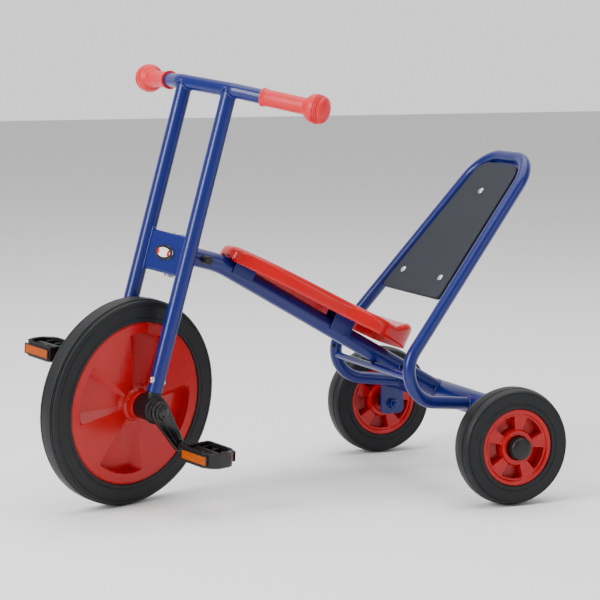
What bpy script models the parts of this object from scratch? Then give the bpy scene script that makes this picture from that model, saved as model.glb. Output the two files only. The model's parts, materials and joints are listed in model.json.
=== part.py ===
"""A children's tricycle in metres: +Z up, front towards -Y, the rider's left towards +X."""

import math

import bmesh
import bpy
from mathutils import Matrix, Vector

GAP = 0.0003  # between pieces that touch on the real object
RUNNING_GAP = 0.0005  # between pieces that turn on one another

# Layout. Heights and lengths of the frame are measured from the rear axle.
REAR_AXLE_Y = 0.3113  # places the origin under the middle of the tricycle
STEERING_TO_REAR_AXLE = 0.5761
RAKE = math.radians(15.2)
STEERED = math.radians(21.1)
FORK_OFFSET = 0.020  # of the fork's plane ahead of the steering axis

# Front wheel
FRONT_RADIUS = 0.176
FRONT_HALF_WIDTH = 0.021
FRONT_CROWN = 0.0156
FRONT_RIM_RADIUS = 0.138
FRONT_RIM_HALF_WIDTH = 0.019
FRONT_HUB_RADIUS = 0.026
FRONT_HUB_HALF_WIDTH = 0.0345
FRONT_POCKETS = 4
FRONT_POCKET_ANGLE = math.radians(1)

# Rear wheels
REAR_RADIUS = 0.100
REAR_TRACK = 0.498
REAR_HALF_WIDTH = 0.0245
REAR_CROWN = 0.0123
REAR_RIM_RADIUS = 0.065
REAR_RIM_HALF_WIDTH = 0.022
REAR_HUB_RADIUS = 0.022
REAR_POCKETS = 5
REAR_POCKET_ANGLE = math.radians(45.5)
AXLE_BOLT_RADIUS = 0.005
BUSH_WALL = 0.0030
HUB_CAP_RADIUS = 0.019
HUB_CAP_REACH = 0.019  # past the rim's face

# Frame
MAIN_TUBE_RADIUS = 0.016
NECK_LENGTH = 0.083
NECK_BEND_RADIUS = 0.16
HEAD_CENTRE = 0.2550  # above the hub, along the steering axis
HEAD_LENGTH = 0.057
NECK_HEIGHT = 0.2595  # where the main tube meets the head tube
HEAD_RADIUS = 0.017
HEAD_WALL = 0.003
BEAM_RADIUS = 0.021
BEAM_WALL = 0.0025
BEAM_LENGTH = 0.400
BEAM_RISE = 0.052
AXLE_PLATE_X = 0.192
AXLE_PLATE_THICKNESS = 0.005
AXLE_PLATE_DEPTH = 0.046
AXLE_PLATE_FOOT = 0.019  # below the rear axle
BUFFER_RADIUS = 0.0075
BUFFER_BEHIND_HEAD = 0.049
BUFFER_REACH = 0.037

# Backrest
BACKREST_LEAN = math.radians(39.4)
BACKREST_AHEAD = 0.1285  # of the rear axle, where the hoop's plane starts
BACKREST_START = 0.098  # above the beam
HOOP_RADIUS = 0.011
HOOP_HALF_WIDTH = 0.1399
HOOP_TAPER = 0.1339
HOOP_TOP = 0.409
HOOP_CORNER = 0.065
KNEE_RADIUS = 0.055
KNEE_AHEAD = 0.1917
LEG_END_X = 0.130
KNEE_BAR_RADIUS = 0.006
KNEE_BAR_AHEAD = 0.140
PAD_THICKNESS = 0.008
PAD_PROUD = 0.007
PAD_INSET = 0.019
PAD_BOTTOM = 0.105
PAD_CORNER = 0.032
PLATE_THICKNESS = 0.0025
PAD_SCREWS = ((-0.0693, 0.1441), (0.0693, 0.1441), (0.0, 0.3277))

# Seat
SEAT_LENGTH = 0.366
SEAT_FRONT = 0.024
SEAT_AHEAD_OF_BEND = 0.0242
SEAT_ABOVE_TUBE = 0.0183
SEAT_TILT = math.radians(2.5)
SEAT_NOSE_HALF_WIDTH = 0.067
SEAT_REAR_HALF_WIDTH = 0.101
SEAT_WALL = 0.003
SEAT_SKIRT = 0.0275
SEAT_LIP = 0.015
SEAT_NOSE_ARCH = 0.0080  # the skirt's rise where it crosses the main tube
SEAT_BOSS_RADIUS = 0.006
SEAT_BOSS_LENGTH = 0.012
BRACKET_PLACES = (0.0640, 0.2742)
BRACKET_LENGTH = 0.040
BRACKET_HALF_WIDTH = 0.034
BRACKET_SHEET = 0.0025
SEAT_SCREW_X = 0.027

# Fork and handlebar, measured up the steering axis from the hub
FORK_TUBE_RADIUS = 0.013
FORK_TUBE_WALL = 0.0015
FORK_HALF_SPACING = 0.0547
FORK_TUBE_START = 0.027
HANDLEBAR_HEIGHT = 0.541
HANDLEBAR_RADIUS = 0.01225
HANDLEBAR_STRAIGHT = 0.065
HANDLEBAR_SWEEP = math.radians(21.3)
HANDLEBAR_BEND_RADIUS = 0.035
HANDLEBAR_ARM = 0.156
GRIP_RADIUS = 0.014
GRIP_LENGTH = 0.1035
GRIP_END_RADIUS = 0.0245
YOKE_SHEET = 0.003
YOKE_FRONT = 0.0225  # ahead of the steering axis
YOKE_BACK_RADIUS = 0.021
KINGPIN_RADIUS = 0.005
KINGPIN_HEAD = 0.0025
NUT_HEIGHT = 0.0035
HEAD_BUSH_FLANGE = 0.0018

# Drive
AXLE_RADIUS = 0.006
HOUSING_RADIUS = 0.0215
HOUSING_INBOARD = 0.0187  # of the fork tube's centreline
HOUSING_OUTBOARD = 0.0203
HOUSING_INNER = FORK_HALF_SPACING - HOUSING_INBOARD
HOUSING_OUTER = FORK_HALF_SPACING + HOUSING_OUTBOARD
CRANK_LENGTH = 0.078
CRANK_ANGLE = math.radians(39)
CRANK_THICKNESS = 0.009
CRANK_BOSS_RADIUS = 0.019
CRANK_END_RADIUS = 0.011
PEDAL_OUTBOARD = 0.0340  # of the crank
PEDAL_INNER = HOUSING_OUTER + CRANK_THICKNESS + PEDAL_OUTBOARD
PEDAL_LENGTH = 0.074
PEDAL_DEPTH = 0.062
PEDAL_HEIGHT = 0.026
PEDAL_TOOTH = 0.0022
PEDAL_TILT = math.radians(15)  # front edge down
SPINDLE_RADIUS = 0.005
REFLECTOR_LENGTH = 0.058
REFLECTOR_HEIGHT = 0.0145
REFLECTOR_THICKNESS = 0.003

SIDES = (("left", 1), ("right", -1))


# Mesh helpers ---------------------------------------------------------------------------------------------


def add_object(name, points, faces, material, parent=None, smooth=True):
    """A mesh object of these points and faces, with its faces turned outward."""
    mesh = bpy.data.meshes.new(name)
    mesh.from_pydata([tuple(p) for p in points], [], faces)
    work = bmesh.new()
    work.from_mesh(mesh)
    bmesh.ops.recalc_face_normals(work, faces=work.faces)
    work.to_mesh(mesh)
    work.free()
    if smooth:
        mesh.shade_smooth()
        mesh.set_sharp_from_angle(angle=math.radians(35))
    thing = bpy.data.objects.new(name, mesh)
    bpy.context.scene.collection.objects.link(thing)
    thing.parent = parent
    if material:
        mesh.materials.append(material)
    return thing


def on_axis(axis, radius, along, angle):
    """A point at this radius and angle around the X or the Z axis."""
    across, up = radius * math.cos(angle), radius * math.sin(angle)
    return Vector((along, across, up)) if axis == "X" else Vector((across, up, along))


def spun(profile, steps, axis="Z", phase=0.5):
    """Points and faces of a profile of (radius, along) turned about an axis.

    A profile that ends on the axis makes a solid, and any other is closed into a ring.
    """
    points, rows = [], []
    for radius, along in profile:
        if radius == 0:
            rows.append([len(points)] * steps)
            points.append(on_axis(axis, 0, along, 0))
            continue
        rows.append([len(points) + k for k in range(steps)])
        points += [on_axis(axis, radius, along, (k + phase) * 2 * math.pi / steps) for k in range(steps)]
    pairs = list(zip(rows, rows[1:]))
    if profile[0][0] or profile[-1][0]:
        pairs.append((rows[-1], rows[0]))
    faces = []
    for low, high in pairs:
        for k in range(steps):
            after = (k + 1) % steps
            corners = [low[k], low[after], high[after], high[k]]
            faces.append(tuple(dict.fromkeys(corners)))
    return points, faces


def bore(radius, steps):
    """The corner radius of a faceted hole whose flats stand at this radius."""
    return radius / math.cos(math.pi / steps)


def rounded_path(corners, radii, arc_step=math.radians(13)):
    """The corners joined by straight runs, with each inner corner rounded to its radius."""
    path = [corners[0]]
    for before, corner, after, radius in zip(corners, corners[1:], corners[2:], radii):
        into = (corner - before).normalized()
        out = (after - corner).normalized()
        turn = into.angle(out)
        start = corner - into * radius * math.tan(turn / 2)
        axis = into.cross(out).normalized()
        centre = start + axis.cross(into) * radius
        steps = max(2, round(turn / arc_step))
        for k in range(steps + 1):
            path.append(centre + Matrix.Rotation(turn * k / steps, 3, axis) @ (start - centre))
    path.append(corners[-1])
    return path


def swept(path, radius, sides):
    """Points and faces of a round bar along a path, with flat ends."""
    points, faces = [], []
    side = None
    for k, place in enumerate(path):
        ahead = (path[min(k + 1, len(path) - 1)] - path[max(k - 1, 0)]).normalized()
        side = Vector((1, 0, 0)) if side is None and abs(ahead.x) < 0.9 else side or Vector((0, 1, 0))
        side = (side - ahead * side.dot(ahead)).normalized()
        up = ahead.cross(side)
        turns = [(n + 0.5) * 2 * math.pi / sides for n in range(sides)]
        points += [place + (side * math.cos(t) + up * math.sin(t)) * radius for t in turns]
    for k in range(len(path) - 1):
        low, high = k * sides, (k + 1) * sides
        for n in range(sides):
            m = (n + 1) % sides
            faces.append((low + n, low + m, high + m, high + n))
    faces.append(tuple(range(sides)))
    faces.append(tuple(range(len(points) - sides, len(points))))
    return points, faces


def prism(outline, low, high, place=lambda a, b, c: (a, b, c)):
    """Points and faces of an outline of (a, b) extruded from low to high; place maps (a, b, c) to space."""
    points = [place(a, b, c) for c in (low, high) for a, b in outline]
    count = len(outline)
    faces = [tuple(range(count)), tuple(range(count, 2 * count))]
    for k in range(count):
        after = (k + 1) % count
        faces.append((k, after, count + after, count + k))
    return points, faces


def standing(a, b, c):
    """Places an outline of (across, up) and extrudes it along Y."""
    return (a, c, b)


def box(low, high):
    """Points and faces of a box between two corners."""
    outline = [(low[0], low[1]), (high[0], low[1]), (high[0], high[1]), (low[0], high[1])]
    return prism(outline, low[2], high[2])


def arc(centre, radius, start, end, steps):
    """Points of (a, b) along an arc, with angles in radians."""
    turns = [start + (end - start) * k / steps for k in range(steps + 1)]
    return [(centre[0] + radius * math.cos(t), centre[1] + radius * math.sin(t)) for t in turns]


def rounded_outline(corners, radii, steps=4):
    """An outline of (a, b) with each corner rounded to its radius."""
    outline = []
    count = len(corners)
    for k, (corner, radius) in enumerate(zip(corners, radii)):
        here = Vector(corner)
        into = (here - Vector(corners[k - 1])).normalized()
        out = (Vector(corners[(k + 1) % count]) - here).normalized()
        turn = into.angle(out)
        if radius == 0 or turn < 1e-4:
            outline.append(tuple(here))
            continue
        start = here - into * radius * math.tan(turn / 2)
        sense = 1 if into.x * out.y - into.y * out.x > 0 else -1
        centre = start + Vector((-into.y, into.x)) * radius * sense
        for n in range(steps + 1):
            spin = Matrix.Rotation(sense * turn * n / steps, 2)
            outline.append(tuple(centre + spin @ (start - centre)))
    return outline


def boolean(thing, operation, name, shape, parent):
    """Cuts a shape from a piece, or joins it to the piece, with a hidden helper."""
    helper = add_object(name, *shape, None, parent, smooth=False)
    helper.hide_render = True
    helper.display_type = "WIRE"
    modifier = thing.modifiers.new(name, "BOOLEAN")
    modifier.operation = operation
    modifier.solver = "EXACT"
    modifier.object = helper
    return helper


def cut(thing, name, shape, parent):
    boolean(thing, "DIFFERENCE", f"{name}_cutter", shape, parent)


def join(thing, name, shape, parent):
    boolean(thing, "UNION", f"{name}_join", shape, parent)


def placed(shape, matrix):
    """The same points and faces, moved by a matrix."""
    points, faces = shape
    return [matrix @ Vector(p) for p in points], faces


def rod(radius, low, high, steps=12, axis="Z"):
    """Points and faces of a plain round rod on an axis."""
    return spun([(0, low), (radius, low), (radius, high), (0, high)], steps, axis)


def disc_with_pockets(rings, half_widths, floors, steps, pockets, phase, pocket_share):
    """Points and faces of a wheel disc about X: a ring of pockets is sunk into both faces.

    Each ring has its radius, half width on the spokes and half width in the pockets.
    """
    points, rows = [], []
    for side in (1, -1):
        for radius, face, floor in zip(rings, half_widths, floors):
            rows.append(len(points))
            for k in range(steps):
                angle = k * 2 * math.pi / steps
                turn = (angle * pockets / (2 * math.pi) + 0.5) % 1 - 0.5
                inside = abs(turn) < pocket_share / 2
                points.append(on_axis("X", radius, side * (floor if inside else face), angle + phase))
    count = len(rings)
    loop = rows[:count] + rows[count:][::-1]
    faces = []
    for low, high in zip(loop, loop[1:] + loop[:1]):
        for k in range(steps):
            after = (k + 1) % steps
            faces.append((low + k, low + after, high + after, high + k))
    return points, faces


# Materials ------------------------------------------------------------------------------------------------


def material(name, red, green, blue, roughness, metallic=0.0):
    """A Principled material from an sRGB colour of 0 to 255."""
    made = bpy.data.materials.new(name)
    made.use_nodes = True
    shader = made.node_tree.nodes["Principled BSDF"]
    linear = [((c / 255 + 0.055) / 1.055) ** 2.4 if c > 10 else c / 255 / 12.92 for c in (red, green, blue)]
    shader.inputs["Base Color"].default_value = (*linear, 1)
    shader.inputs["Roughness"].default_value = roughness
    shader.inputs["Metallic"].default_value = metallic
    return made


def empty(name, parent, matrix):
    thing = bpy.data.objects.new(name, None)
    bpy.context.scene.collection.objects.link(thing)
    thing.empty_display_size = 0.03
    thing.parent = parent
    thing.matrix_basis = matrix
    return thing


for old in list(bpy.data.objects):
    bpy.data.objects.remove(old, do_unlink=True)

BLUE = material("blue_paint", 55, 78, 166, 0.3)
RED = material("red_plastic", 225, 15, 35, 0.25)
GRIP_RED = material("grip_rubber", 230, 60, 75, 0.5)
PAD_GREY = material("pad_plastic", 80, 85, 94, 0.6)
TYRE = material("tyre_rubber", 48, 50, 54, 0.8)
BLACK = material("black_plastic", 30, 30, 32, 0.4)
RUBBER = material("black_rubber", 25, 25, 26, 0.7)
STEEL = material("zinc_steel", 190, 190, 195, 0.3, 1.0)
CHROME = material("chrome", 220, 220, 225, 0.1, 1.0)
AMBER = material("amber_reflector", 205, 130, 20, 0.2)
BADGE = material("badge_white", 235, 235, 235, 0.3)

# Places ---------------------------------------------------------------------------------------------------

camber = math.asin(math.sin(STEERED) * math.sin(RAKE))
hub_above_pivot = FORK_OFFSET * math.cos(STEERED) * math.sin(RAKE)
front_touch = FRONT_RADIUS * math.cos(camber) + FRONT_CROWN * math.sin(camber)
pivot = Vector((0, -STEERING_TO_REAR_AXLE, front_touch - hub_above_pivot - REAR_RADIUS))
rake_turn = Matrix.Rotation(-RAKE, 4, "X")

trike = empty("trike", None, Matrix.Translation((0, REAR_AXLE_Y, REAR_RADIUS)))
head = empty("steering_head", trike, Matrix.Translation(pivot) @ rake_turn)
steering = empty("steering", head, Matrix.Rotation(STEERED, 4, "Z"))
front_wheel = empty("front_wheel", steering, Matrix.Translation((0, -FORK_OFFSET, 0)))

neck_start = pivot + rake_turn.to_3x3() @ Vector((0, 0, NECK_HEIGHT))
neck_end = neck_start + rake_turn.to_3x3() @ Vector((0, NECK_LENGTH, 0))
beam_centre = Vector((0, 0, BEAM_RISE))
tube_run = (beam_centre - neck_end).normalized()
tube_slope = math.atan2(-tube_run.z, tube_run.y)
main_path = rounded_path([neck_start, neck_end, beam_centre], [NECK_BEND_RADIUS])

yoke_reach = HEAD_LENGTH / 2 + GAP + HEAD_BUSH_FLANGE + RUNNING_GAP + YOKE_SHEET
yoke_low, yoke_high = HEAD_CENTRE - yoke_reach, HEAD_CENTRE + yoke_reach

seat_slope = tube_slope - SEAT_TILT
tube_normal = Vector((0, -tube_run.z, tube_run.y))
seat_rise = MAIN_TUBE_RADIUS + SEAT_ABOVE_TUBE
seat_place = neck_end - tube_run * SEAT_AHEAD_OF_BEND + tube_normal * seat_rise
seat_turn = Matrix.Rotation(-seat_slope, 4, "X")
seat_frame = empty("seat_frame", trike, Matrix.Translation(seat_place) @ seat_turn)

lean_turn = Matrix.Rotation(-BACKREST_LEAN, 4, "X")
backrest_start = Vector((0, -BACKREST_AHEAD, BEAM_RISE + BACKREST_START))
backrest_frame = empty("backrest_frame", trike, Matrix.Translation(backrest_start) @ lean_turn)


# Frame ----------------------------------------------------------------------------------------------------


def hoop_half_width(height):
    return HOOP_HALF_WIDTH - HOOP_TAPER * height


def backrest_path():
    """The hoop's centreline, from the beam up one leg, over the top and down the other."""
    knee_height = (-KNEE_AHEAD + BACKREST_AHEAD) / math.sin(BACKREST_LEAN)
    knee_x = hoop_half_width(knee_height)
    top_x = hoop_half_width(HOOP_TOP)
    place = Matrix.Translation(backrest_start) @ lean_turn
    left = [Vector((LEG_END_X, 0, BEAM_RISE)), place @ Vector((knee_x, 0, knee_height))]
    left.append(place @ Vector((top_x, 0, HOOP_TOP)))
    right = [Vector((-p.x, p.y, p.z)) for p in reversed(left)]
    return rounded_path(left + right, [KNEE_RADIUS, HOOP_CORNER, HOOP_CORNER, KNEE_RADIUS])


hoop_path = backrest_path()
main_cutter = swept(main_path, MAIN_TUBE_RADIUS + GAP, 16)
hoop_cutter = swept(hoop_path, HOOP_RADIUS + GAP, 12)
beam_cutter = rod(BEAM_RADIUS + GAP, -BEAM_LENGTH, BEAM_LENGTH, 24, "X")
beam_cutter = placed(beam_cutter, Matrix.Translation(beam_centre))


def make_frame():
    main_tube = add_object("main_tube", *swept(main_path, MAIN_TUBE_RADIUS, 16), BLUE, trike)
    head_cutter = rod(HEAD_RADIUS + GAP, HEAD_CENTRE - HEAD_LENGTH, HEAD_CENTRE + HEAD_LENGTH, 20)
    cut(main_tube, "neck_cope", head_cutter, head)
    cut(main_tube, "beam_cope", beam_cutter, trike)

    low, high = HEAD_CENTRE - HEAD_LENGTH / 2, HEAD_CENTRE + HEAD_LENGTH / 2
    inner = bore(HEAD_RADIUS - HEAD_WALL, 20)
    pipe = spun([(HEAD_RADIUS, low), (HEAD_RADIUS, high), (inner, high), (inner, low)], 20)
    add_object("head_tube", *pipe, BLUE, head)

    half = BEAM_LENGTH / 2
    inner = BEAM_RADIUS - BEAM_WALL
    pipe = spun([(BEAM_RADIUS, -half), (BEAM_RADIUS, half), (inner, half), (inner, -half)], 24, "X")
    beam = add_object("cross_beam", *pipe, BLUE, trike)
    beam.location = beam_centre

    backrest_tube = add_object("backrest_tube", *swept(hoop_path, HOOP_RADIUS, 12), BLUE, trike)
    cut(backrest_tube, "leg_cope", beam_cutter, trike)


def make_beam_ends():
    half = BEAM_LENGTH / 2
    stem = BEAM_RADIUS - BEAM_WALL - GAP
    for side, sign in SIDES:
        profile = [
            (0, half - 0.015),
            (stem * math.cos(math.pi / 24), half - 0.015),
            (stem * math.cos(math.pi / 24), half + GAP),
            (BEAM_RADIUS, half + GAP),
            (BEAM_RADIUS - 0.001, half + 0.0025),
            (0, half + 0.0035),
        ]
        shape = spun([(radius, along * sign) for radius, along in profile], 20, "X")
        plug = add_object(f"beam_plug_{side}", *shape, BLACK, trike)
        plug.location = beam_centre

        reach = AXLE_PLATE_DEPTH / 2
        foot = -AXLE_PLATE_FOOT
        corners = [(-reach, BEAM_RISE), (-reach, foot), (reach, foot), (reach, BEAM_RISE)]
        outline = rounded_outline(corners, [0, 0.010, 0.010, 0])
        low = AXLE_PLATE_X - AXLE_PLATE_THICKNESS / 2
        shape = prism(outline, low, low + AXLE_PLATE_THICKNESS, lambda a, b, c: (c * sign, a, b))
        plate = add_object(f"axle_plate_{side}", *shape, BLUE, trike)
        cut(plate, f"axle_plate_{side}_cope", beam_cutter, trike)
        hole = rod(bore(AXLE_BOLT_RADIUS + GAP, 16), 0.1 * sign, 0.3 * sign, 16, "X")
        cut(plate, f"axle_plate_{side}_hole", hole, trike)


def make_knee_bar():
    """The bar lies just under the main tube and ends on the inner sides of the two knees."""
    tube_height = BEAM_RISE + KNEE_BAR_AHEAD * math.tan(tube_slope)
    drop = (MAIN_TUBE_RADIUS + KNEE_BAR_RADIUS + GAP) / math.cos(tube_slope)
    bar = add_object("knee_bar", *rod(KNEE_BAR_RADIUS, -LEG_END_X, LEG_END_X, 12, "X"), BLUE, trike)
    bar.location = (0, -KNEE_BAR_AHEAD, tube_height - drop)
    cut(bar, "knee_bar_cope", hoop_cutter, trike)


def make_buffers():
    for side, sign in SIDES:
        inner = MAIN_TUBE_RADIUS / 2
        shape = spun(
            [
                (0, inner * sign),
                (BUFFER_RADIUS, inner * sign),
                (BUFFER_RADIUS, (BUFFER_REACH - 0.0015) * sign),
                (BUFFER_RADIUS - 0.0015, BUFFER_REACH * sign),
                (0, BUFFER_REACH * sign),
            ],
            16,
            "X",
        )
        buffer = add_object(f"steering_buffer_{side}", *shape, RUBBER, head)
        buffer.location = (0, BUFFER_BEHIND_HEAD, NECK_HEIGHT)
        cut(buffer, f"buffer_{side}_cope", main_cutter, trike)


# Backrest -------------------------------------------------------------------------------------------------


def hoop_outline(inset, bottom, corner, foot_corner):
    """An outline that follows the hoop at a distance inside its centreline."""
    across = inset * math.hypot(1, HOOP_TAPER)
    top = HOOP_TOP - inset
    corners = [
        (-hoop_half_width(bottom) + across, bottom),
        (hoop_half_width(bottom) - across, bottom),
        (hoop_half_width(top) - across, top),
        (-hoop_half_width(top) + across, top),
    ]
    return rounded_outline(corners, [foot_corner, foot_corner, corner, corner], 6)


def make_backrest():
    inset = HOOP_RADIUS + GAP
    back = PAD_THICKNESS - PAD_PROUD
    outline = hoop_outline(inset, PAD_BOTTOM + 0.005, HOOP_CORNER - inset, 0.006)
    shape = prism(outline, back + GAP, back + GAP + PLATE_THICKNESS, standing)
    plate = add_object("backrest_support_plate", *shape, BLUE, backrest_frame)
    outline = hoop_outline(PAD_INSET, PAD_BOTTOM, PAD_CORNER, 0.010)
    pad = add_object("backrest_pad", *prism(outline, -PAD_PROUD, back, standing), PAD_GREY, backrest_frame)
    for number, (x, height) in enumerate(PAD_SCREWS, 1):
        upright = Matrix.Translation((x, 0, height)) @ Matrix.Rotation(math.radians(90), 4, "X")
        hole = placed(rod(bore(0.002 + GAP, 10), -0.02, 0.02, 10), upright)
        cut(pad, f"pad_hole_{number}", hole, backrest_frame)
        cut(plate, f"plate_hole_{number}", hole, backrest_frame)
        front = PAD_PROUD + GAP
        tail = -(back + PLATE_THICKNESS + 0.004)
        profile = [
            (0, tail),
            (0.002, tail),
            (0.002, front),
            (0.006, front),
            (0.0055, front + 0.0015),
            (0.0025, front + 0.0026),
            (0, front + 0.0026),
        ]
        add_object(f"pad_screw_{number}", *placed(spun(profile, 10), upright), CHROME, backrest_frame)


# Seat -----------------------------------------------------------------------------------------------------


def ease(value, low, high):
    """Rises smoothly from 0 at low to 1 at high."""
    share = min(max((value - low) / (high - low), 0), 1)
    return share * share * (3 - 2 * share)


def seat_outline(steps=32):
    """The seat's plan outline: a narrow rounded nose and a flared back."""
    outline = []
    for k in range(steps):
        angle = (k + 0.5) * 2 * math.pi / steps
        share = (1 - math.cos(angle)) / 2
        flare = ease(share, 0.58, 0.80)
        half = SEAT_NOSE_HALF_WIDTH + 0.010 * share
        half += (SEAT_REAR_HALF_WIDTH - SEAT_NOSE_HALF_WIDTH - 0.010) * flare
        squareness = 0.62 - 0.12 * share
        x = half * math.copysign(abs(math.sin(angle)) ** squareness, math.sin(angle))
        outline.append(Vector((x, SEAT_FRONT + SEAT_LENGTH * share)))
    return outline


def inset_outline(outline, distance):
    """The outline moved inward by a distance, point by point."""
    moved = []
    for k, point in enumerate(outline):
        run = (outline[(k + 1) % len(outline)] - outline[k - 1]).normalized()
        moved.append(point + Vector((-run.y, run.x)) * distance)
    return moved


def seat_top(y):
    """The height of the sitting surface: flat, with a raised lip at the back."""
    share = (y - SEAT_FRONT) / SEAT_LENGTH
    return 0.003 + SEAT_LIP * ease(share, 0.86, 0.95)


def seat_foot(p):
    """The height of the skirt's lower edge: level, with an arch over the main tube at the nose."""
    beside_tube = ease(abs(p.x), MAIN_TUBE_RADIUS, MAIN_TUBE_RADIUS + 0.018)
    behind_nose = ease((p.y - SEAT_FRONT) / SEAT_LENGTH, 0.05, 0.25)
    return 0.003 - SEAT_SKIRT + SEAT_NOSE_ARCH * (1 - beside_tube) * (1 - behind_nose)


def seat_shape():
    """A shell with a skirt: rings run from the middle of the top, down the skirt and back up inside."""
    outline = seat_outline()
    middle = Vector((0, SEAT_FRONT + SEAT_LENGTH / 2))
    edges = [(0.060, 0), (0.035, 0), (0.012, 0), (0.006, 0.0015), (0.002, 0.005), (0, 0.012)]
    rings = [[(p, seat_top(p.y) - drop) for p in inset_outline(outline, inset)] for inset, drop in edges]
    rings.append([(p, seat_foot(p)) for p in outline])
    rings.append([(p, seat_foot(p)) for p in inset_outline(outline, SEAT_WALL)])
    for inset in (SEAT_WALL + 0.001, 0.012, 0.035, 0.060):
        ceiling = SEAT_WALL if inset > 0.01 else SEAT_WALL + 0.009
        rings.append([(p, seat_top(p.y) - ceiling) for p in inset_outline(outline, inset)])
    points = [Vector((middle.x, middle.y, seat_top(middle.y)))]
    points += [Vector((p.x, p.y, height)) for ring in rings for p, height in ring]
    points.append(Vector((middle.x, middle.y, seat_top(middle.y) - SEAT_WALL)))
    count, last = len(outline), len(points) - 1
    faces = []
    for k in range(count):
        after = (k + 1) % count
        faces.append((0, 1 + k, 1 + after))
        faces.append((last, last - count + after, last - count + k))
        for ring in range(len(rings) - 1):
            low = 1 + ring * count
            faces.append((low + k, low + after, low + count + after, low + count + k))
    return points, faces


def bracket_depth(place):
    """How far under the seat the main tube's centreline passes at this place."""
    return seat_rise / math.cos(SEAT_TILT) + place * math.sin(SEAT_TILT)


def make_seat():
    seat = add_object("seat", *seat_shape(), RED, seat_frame)
    top = -SEAT_BOSS_LENGTH - GAP
    number = 0
    for side, place in zip(("front", "rear"), BRACKET_PLACES):
        depth = bracket_depth(place)
        inner = MAIN_TUBE_RADIUS + GAP
        outer = inner + BRACKET_SHEET
        foot = -depth - 0.004
        under = top - BRACKET_SHEET
        outline = [
            (-BRACKET_HALF_WIDTH, top),
            (-BRACKET_HALF_WIDTH, under),
            (-outer, under),
            (-outer, foot),
            (-inner, foot),
            (-inner, under),
            (inner, under),
            (inner, foot),
            (outer, foot),
            (outer, under),
            (BRACKET_HALF_WIDTH, under),
            (BRACKET_HALF_WIDTH, top),
        ]
        ends = (place - BRACKET_LENGTH / 2, place + BRACKET_LENGTH / 2)
        shape = prism(outline, *ends, standing)
        bracket = add_object(f"seat_bracket_{side}", *shape, BLUE, seat_frame, smooth=False)
        cut(bracket, f"seat_bracket_{side}_cope", main_cutter, trike)
        for sign in (1, -1):
            number += 1
            move = Matrix.Translation((SEAT_SCREW_X * sign, place, 0))
            boss = placed(rod(SEAT_BOSS_RADIUS, -SEAT_BOSS_LENGTH, 0.001, 12), move)
            join(seat, f"seat_boss_{number}", boss, seat_frame)
            hole = placed(rod(bore(0.002 + GAP, 10), -0.03, -0.002, 10), move)
            cut(seat, f"seat_hole_{number}", hole, seat_frame)
            cut(bracket, f"seat_bracket_hole_{number}", hole, seat_frame)
            head_top = under - GAP
            profile = [(0, head_top - 0.003), (0.0045, head_top - 0.003), (0.0045, head_top)]
            profile += [(0.002, head_top), (0.002, -0.004), (0, -0.004)]
            add_object(f"seat_screw_{number}", *placed(spun(profile, 10), move), STEEL, seat_frame)


# Steering -------------------------------------------------------------------------------------------------


def handlebar_path():
    arm = Vector((math.cos(HANDLEBAR_SWEEP), math.sin(HANDLEBAR_SWEEP), 0)) * HANDLEBAR_ARM
    bend = Vector((HANDLEBAR_STRAIGHT, -FORK_OFFSET, HANDLEBAR_HEIGHT))
    left = [bend + arm, bend]
    right = [Vector((-p.x, p.y, p.z)) for p in reversed(left)]
    return rounded_path(left + right, [HANDLEBAR_BEND_RADIUS, HANDLEBAR_BEND_RADIUS], math.radians(5))


bar_path = handlebar_path()


def yoke_plan():
    """The flanges' plan: as wide as the fork in front, and round behind the kingpin."""
    half = FORK_HALF_SPACING
    front = -YOKE_FRONT - 0.001
    rear = arc((0, 0), YOKE_BACK_RADIUS, math.radians(20), math.radians(160), 8)
    return [(-half, front), (half, front), (half, -0.008), *rear, (-half, -0.008)]


def fork_cutter(sign):
    low, high = FORK_TUBE_START - 0.02, HANDLEBAR_HEIGHT
    move = Matrix.Translation((FORK_HALF_SPACING * sign, -FORK_OFFSET, 0))
    return placed(rod(FORK_TUBE_RADIUS + GAP, low, high, 18), move)


def make_fork():
    for side, sign in SIDES:
        inner = FORK_TUBE_RADIUS - FORK_TUBE_WALL
        low, high = FORK_TUBE_START, HANDLEBAR_HEIGHT
        pipe = spun([(FORK_TUBE_RADIUS, low), (FORK_TUBE_RADIUS, high), (inner, high), (inner, low)], 18)
        tube = add_object(f"fork_tube_{side}", *pipe, BLUE, steering)
        tube.location = (FORK_HALF_SPACING * sign, -FORK_OFFSET, 0)
        cut(tube, f"fork_tube_{side}_cope", swept(bar_path, HANDLEBAR_RADIUS + GAP, 16), steering)

    front, back = -YOKE_FRONT, YOKE_BACK_RADIUS + 0.005
    sheet = YOKE_SHEET
    corners = [
        (back, yoke_low),
        (back, yoke_low + sheet),
        (front + sheet, yoke_low + sheet),
        (front + sheet, yoke_high - sheet),
        (back, yoke_high - sheet),
        (back, yoke_high),
        (front, yoke_high),
        (front, yoke_low),
    ]
    outline = rounded_outline(corners, [0, 0, 0, 0, 0, 0, sheet * 1.5, sheet * 1.5], 3)
    half = FORK_HALF_SPACING
    yoke = add_object("fork_yoke", *prism(outline, -half, half, lambda a, b, c: (c, a, b)), BLUE, steering)
    plan_cutter = prism(yoke_plan(), yoke_low - 0.01, yoke_high + 0.01)
    boolean(yoke, "INTERSECT", "yoke_plan_cutter", plan_cutter, steering)
    for side, sign in SIDES:
        cut(yoke, f"yoke_fork_{side}", fork_cutter(sign), steering)
    hole = rod(bore(KINGPIN_RADIUS + GAP, 16), yoke_low - 0.02, yoke_high + 0.02, 16)
    cut(yoke, "yoke_hole", hole, steering)


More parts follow.
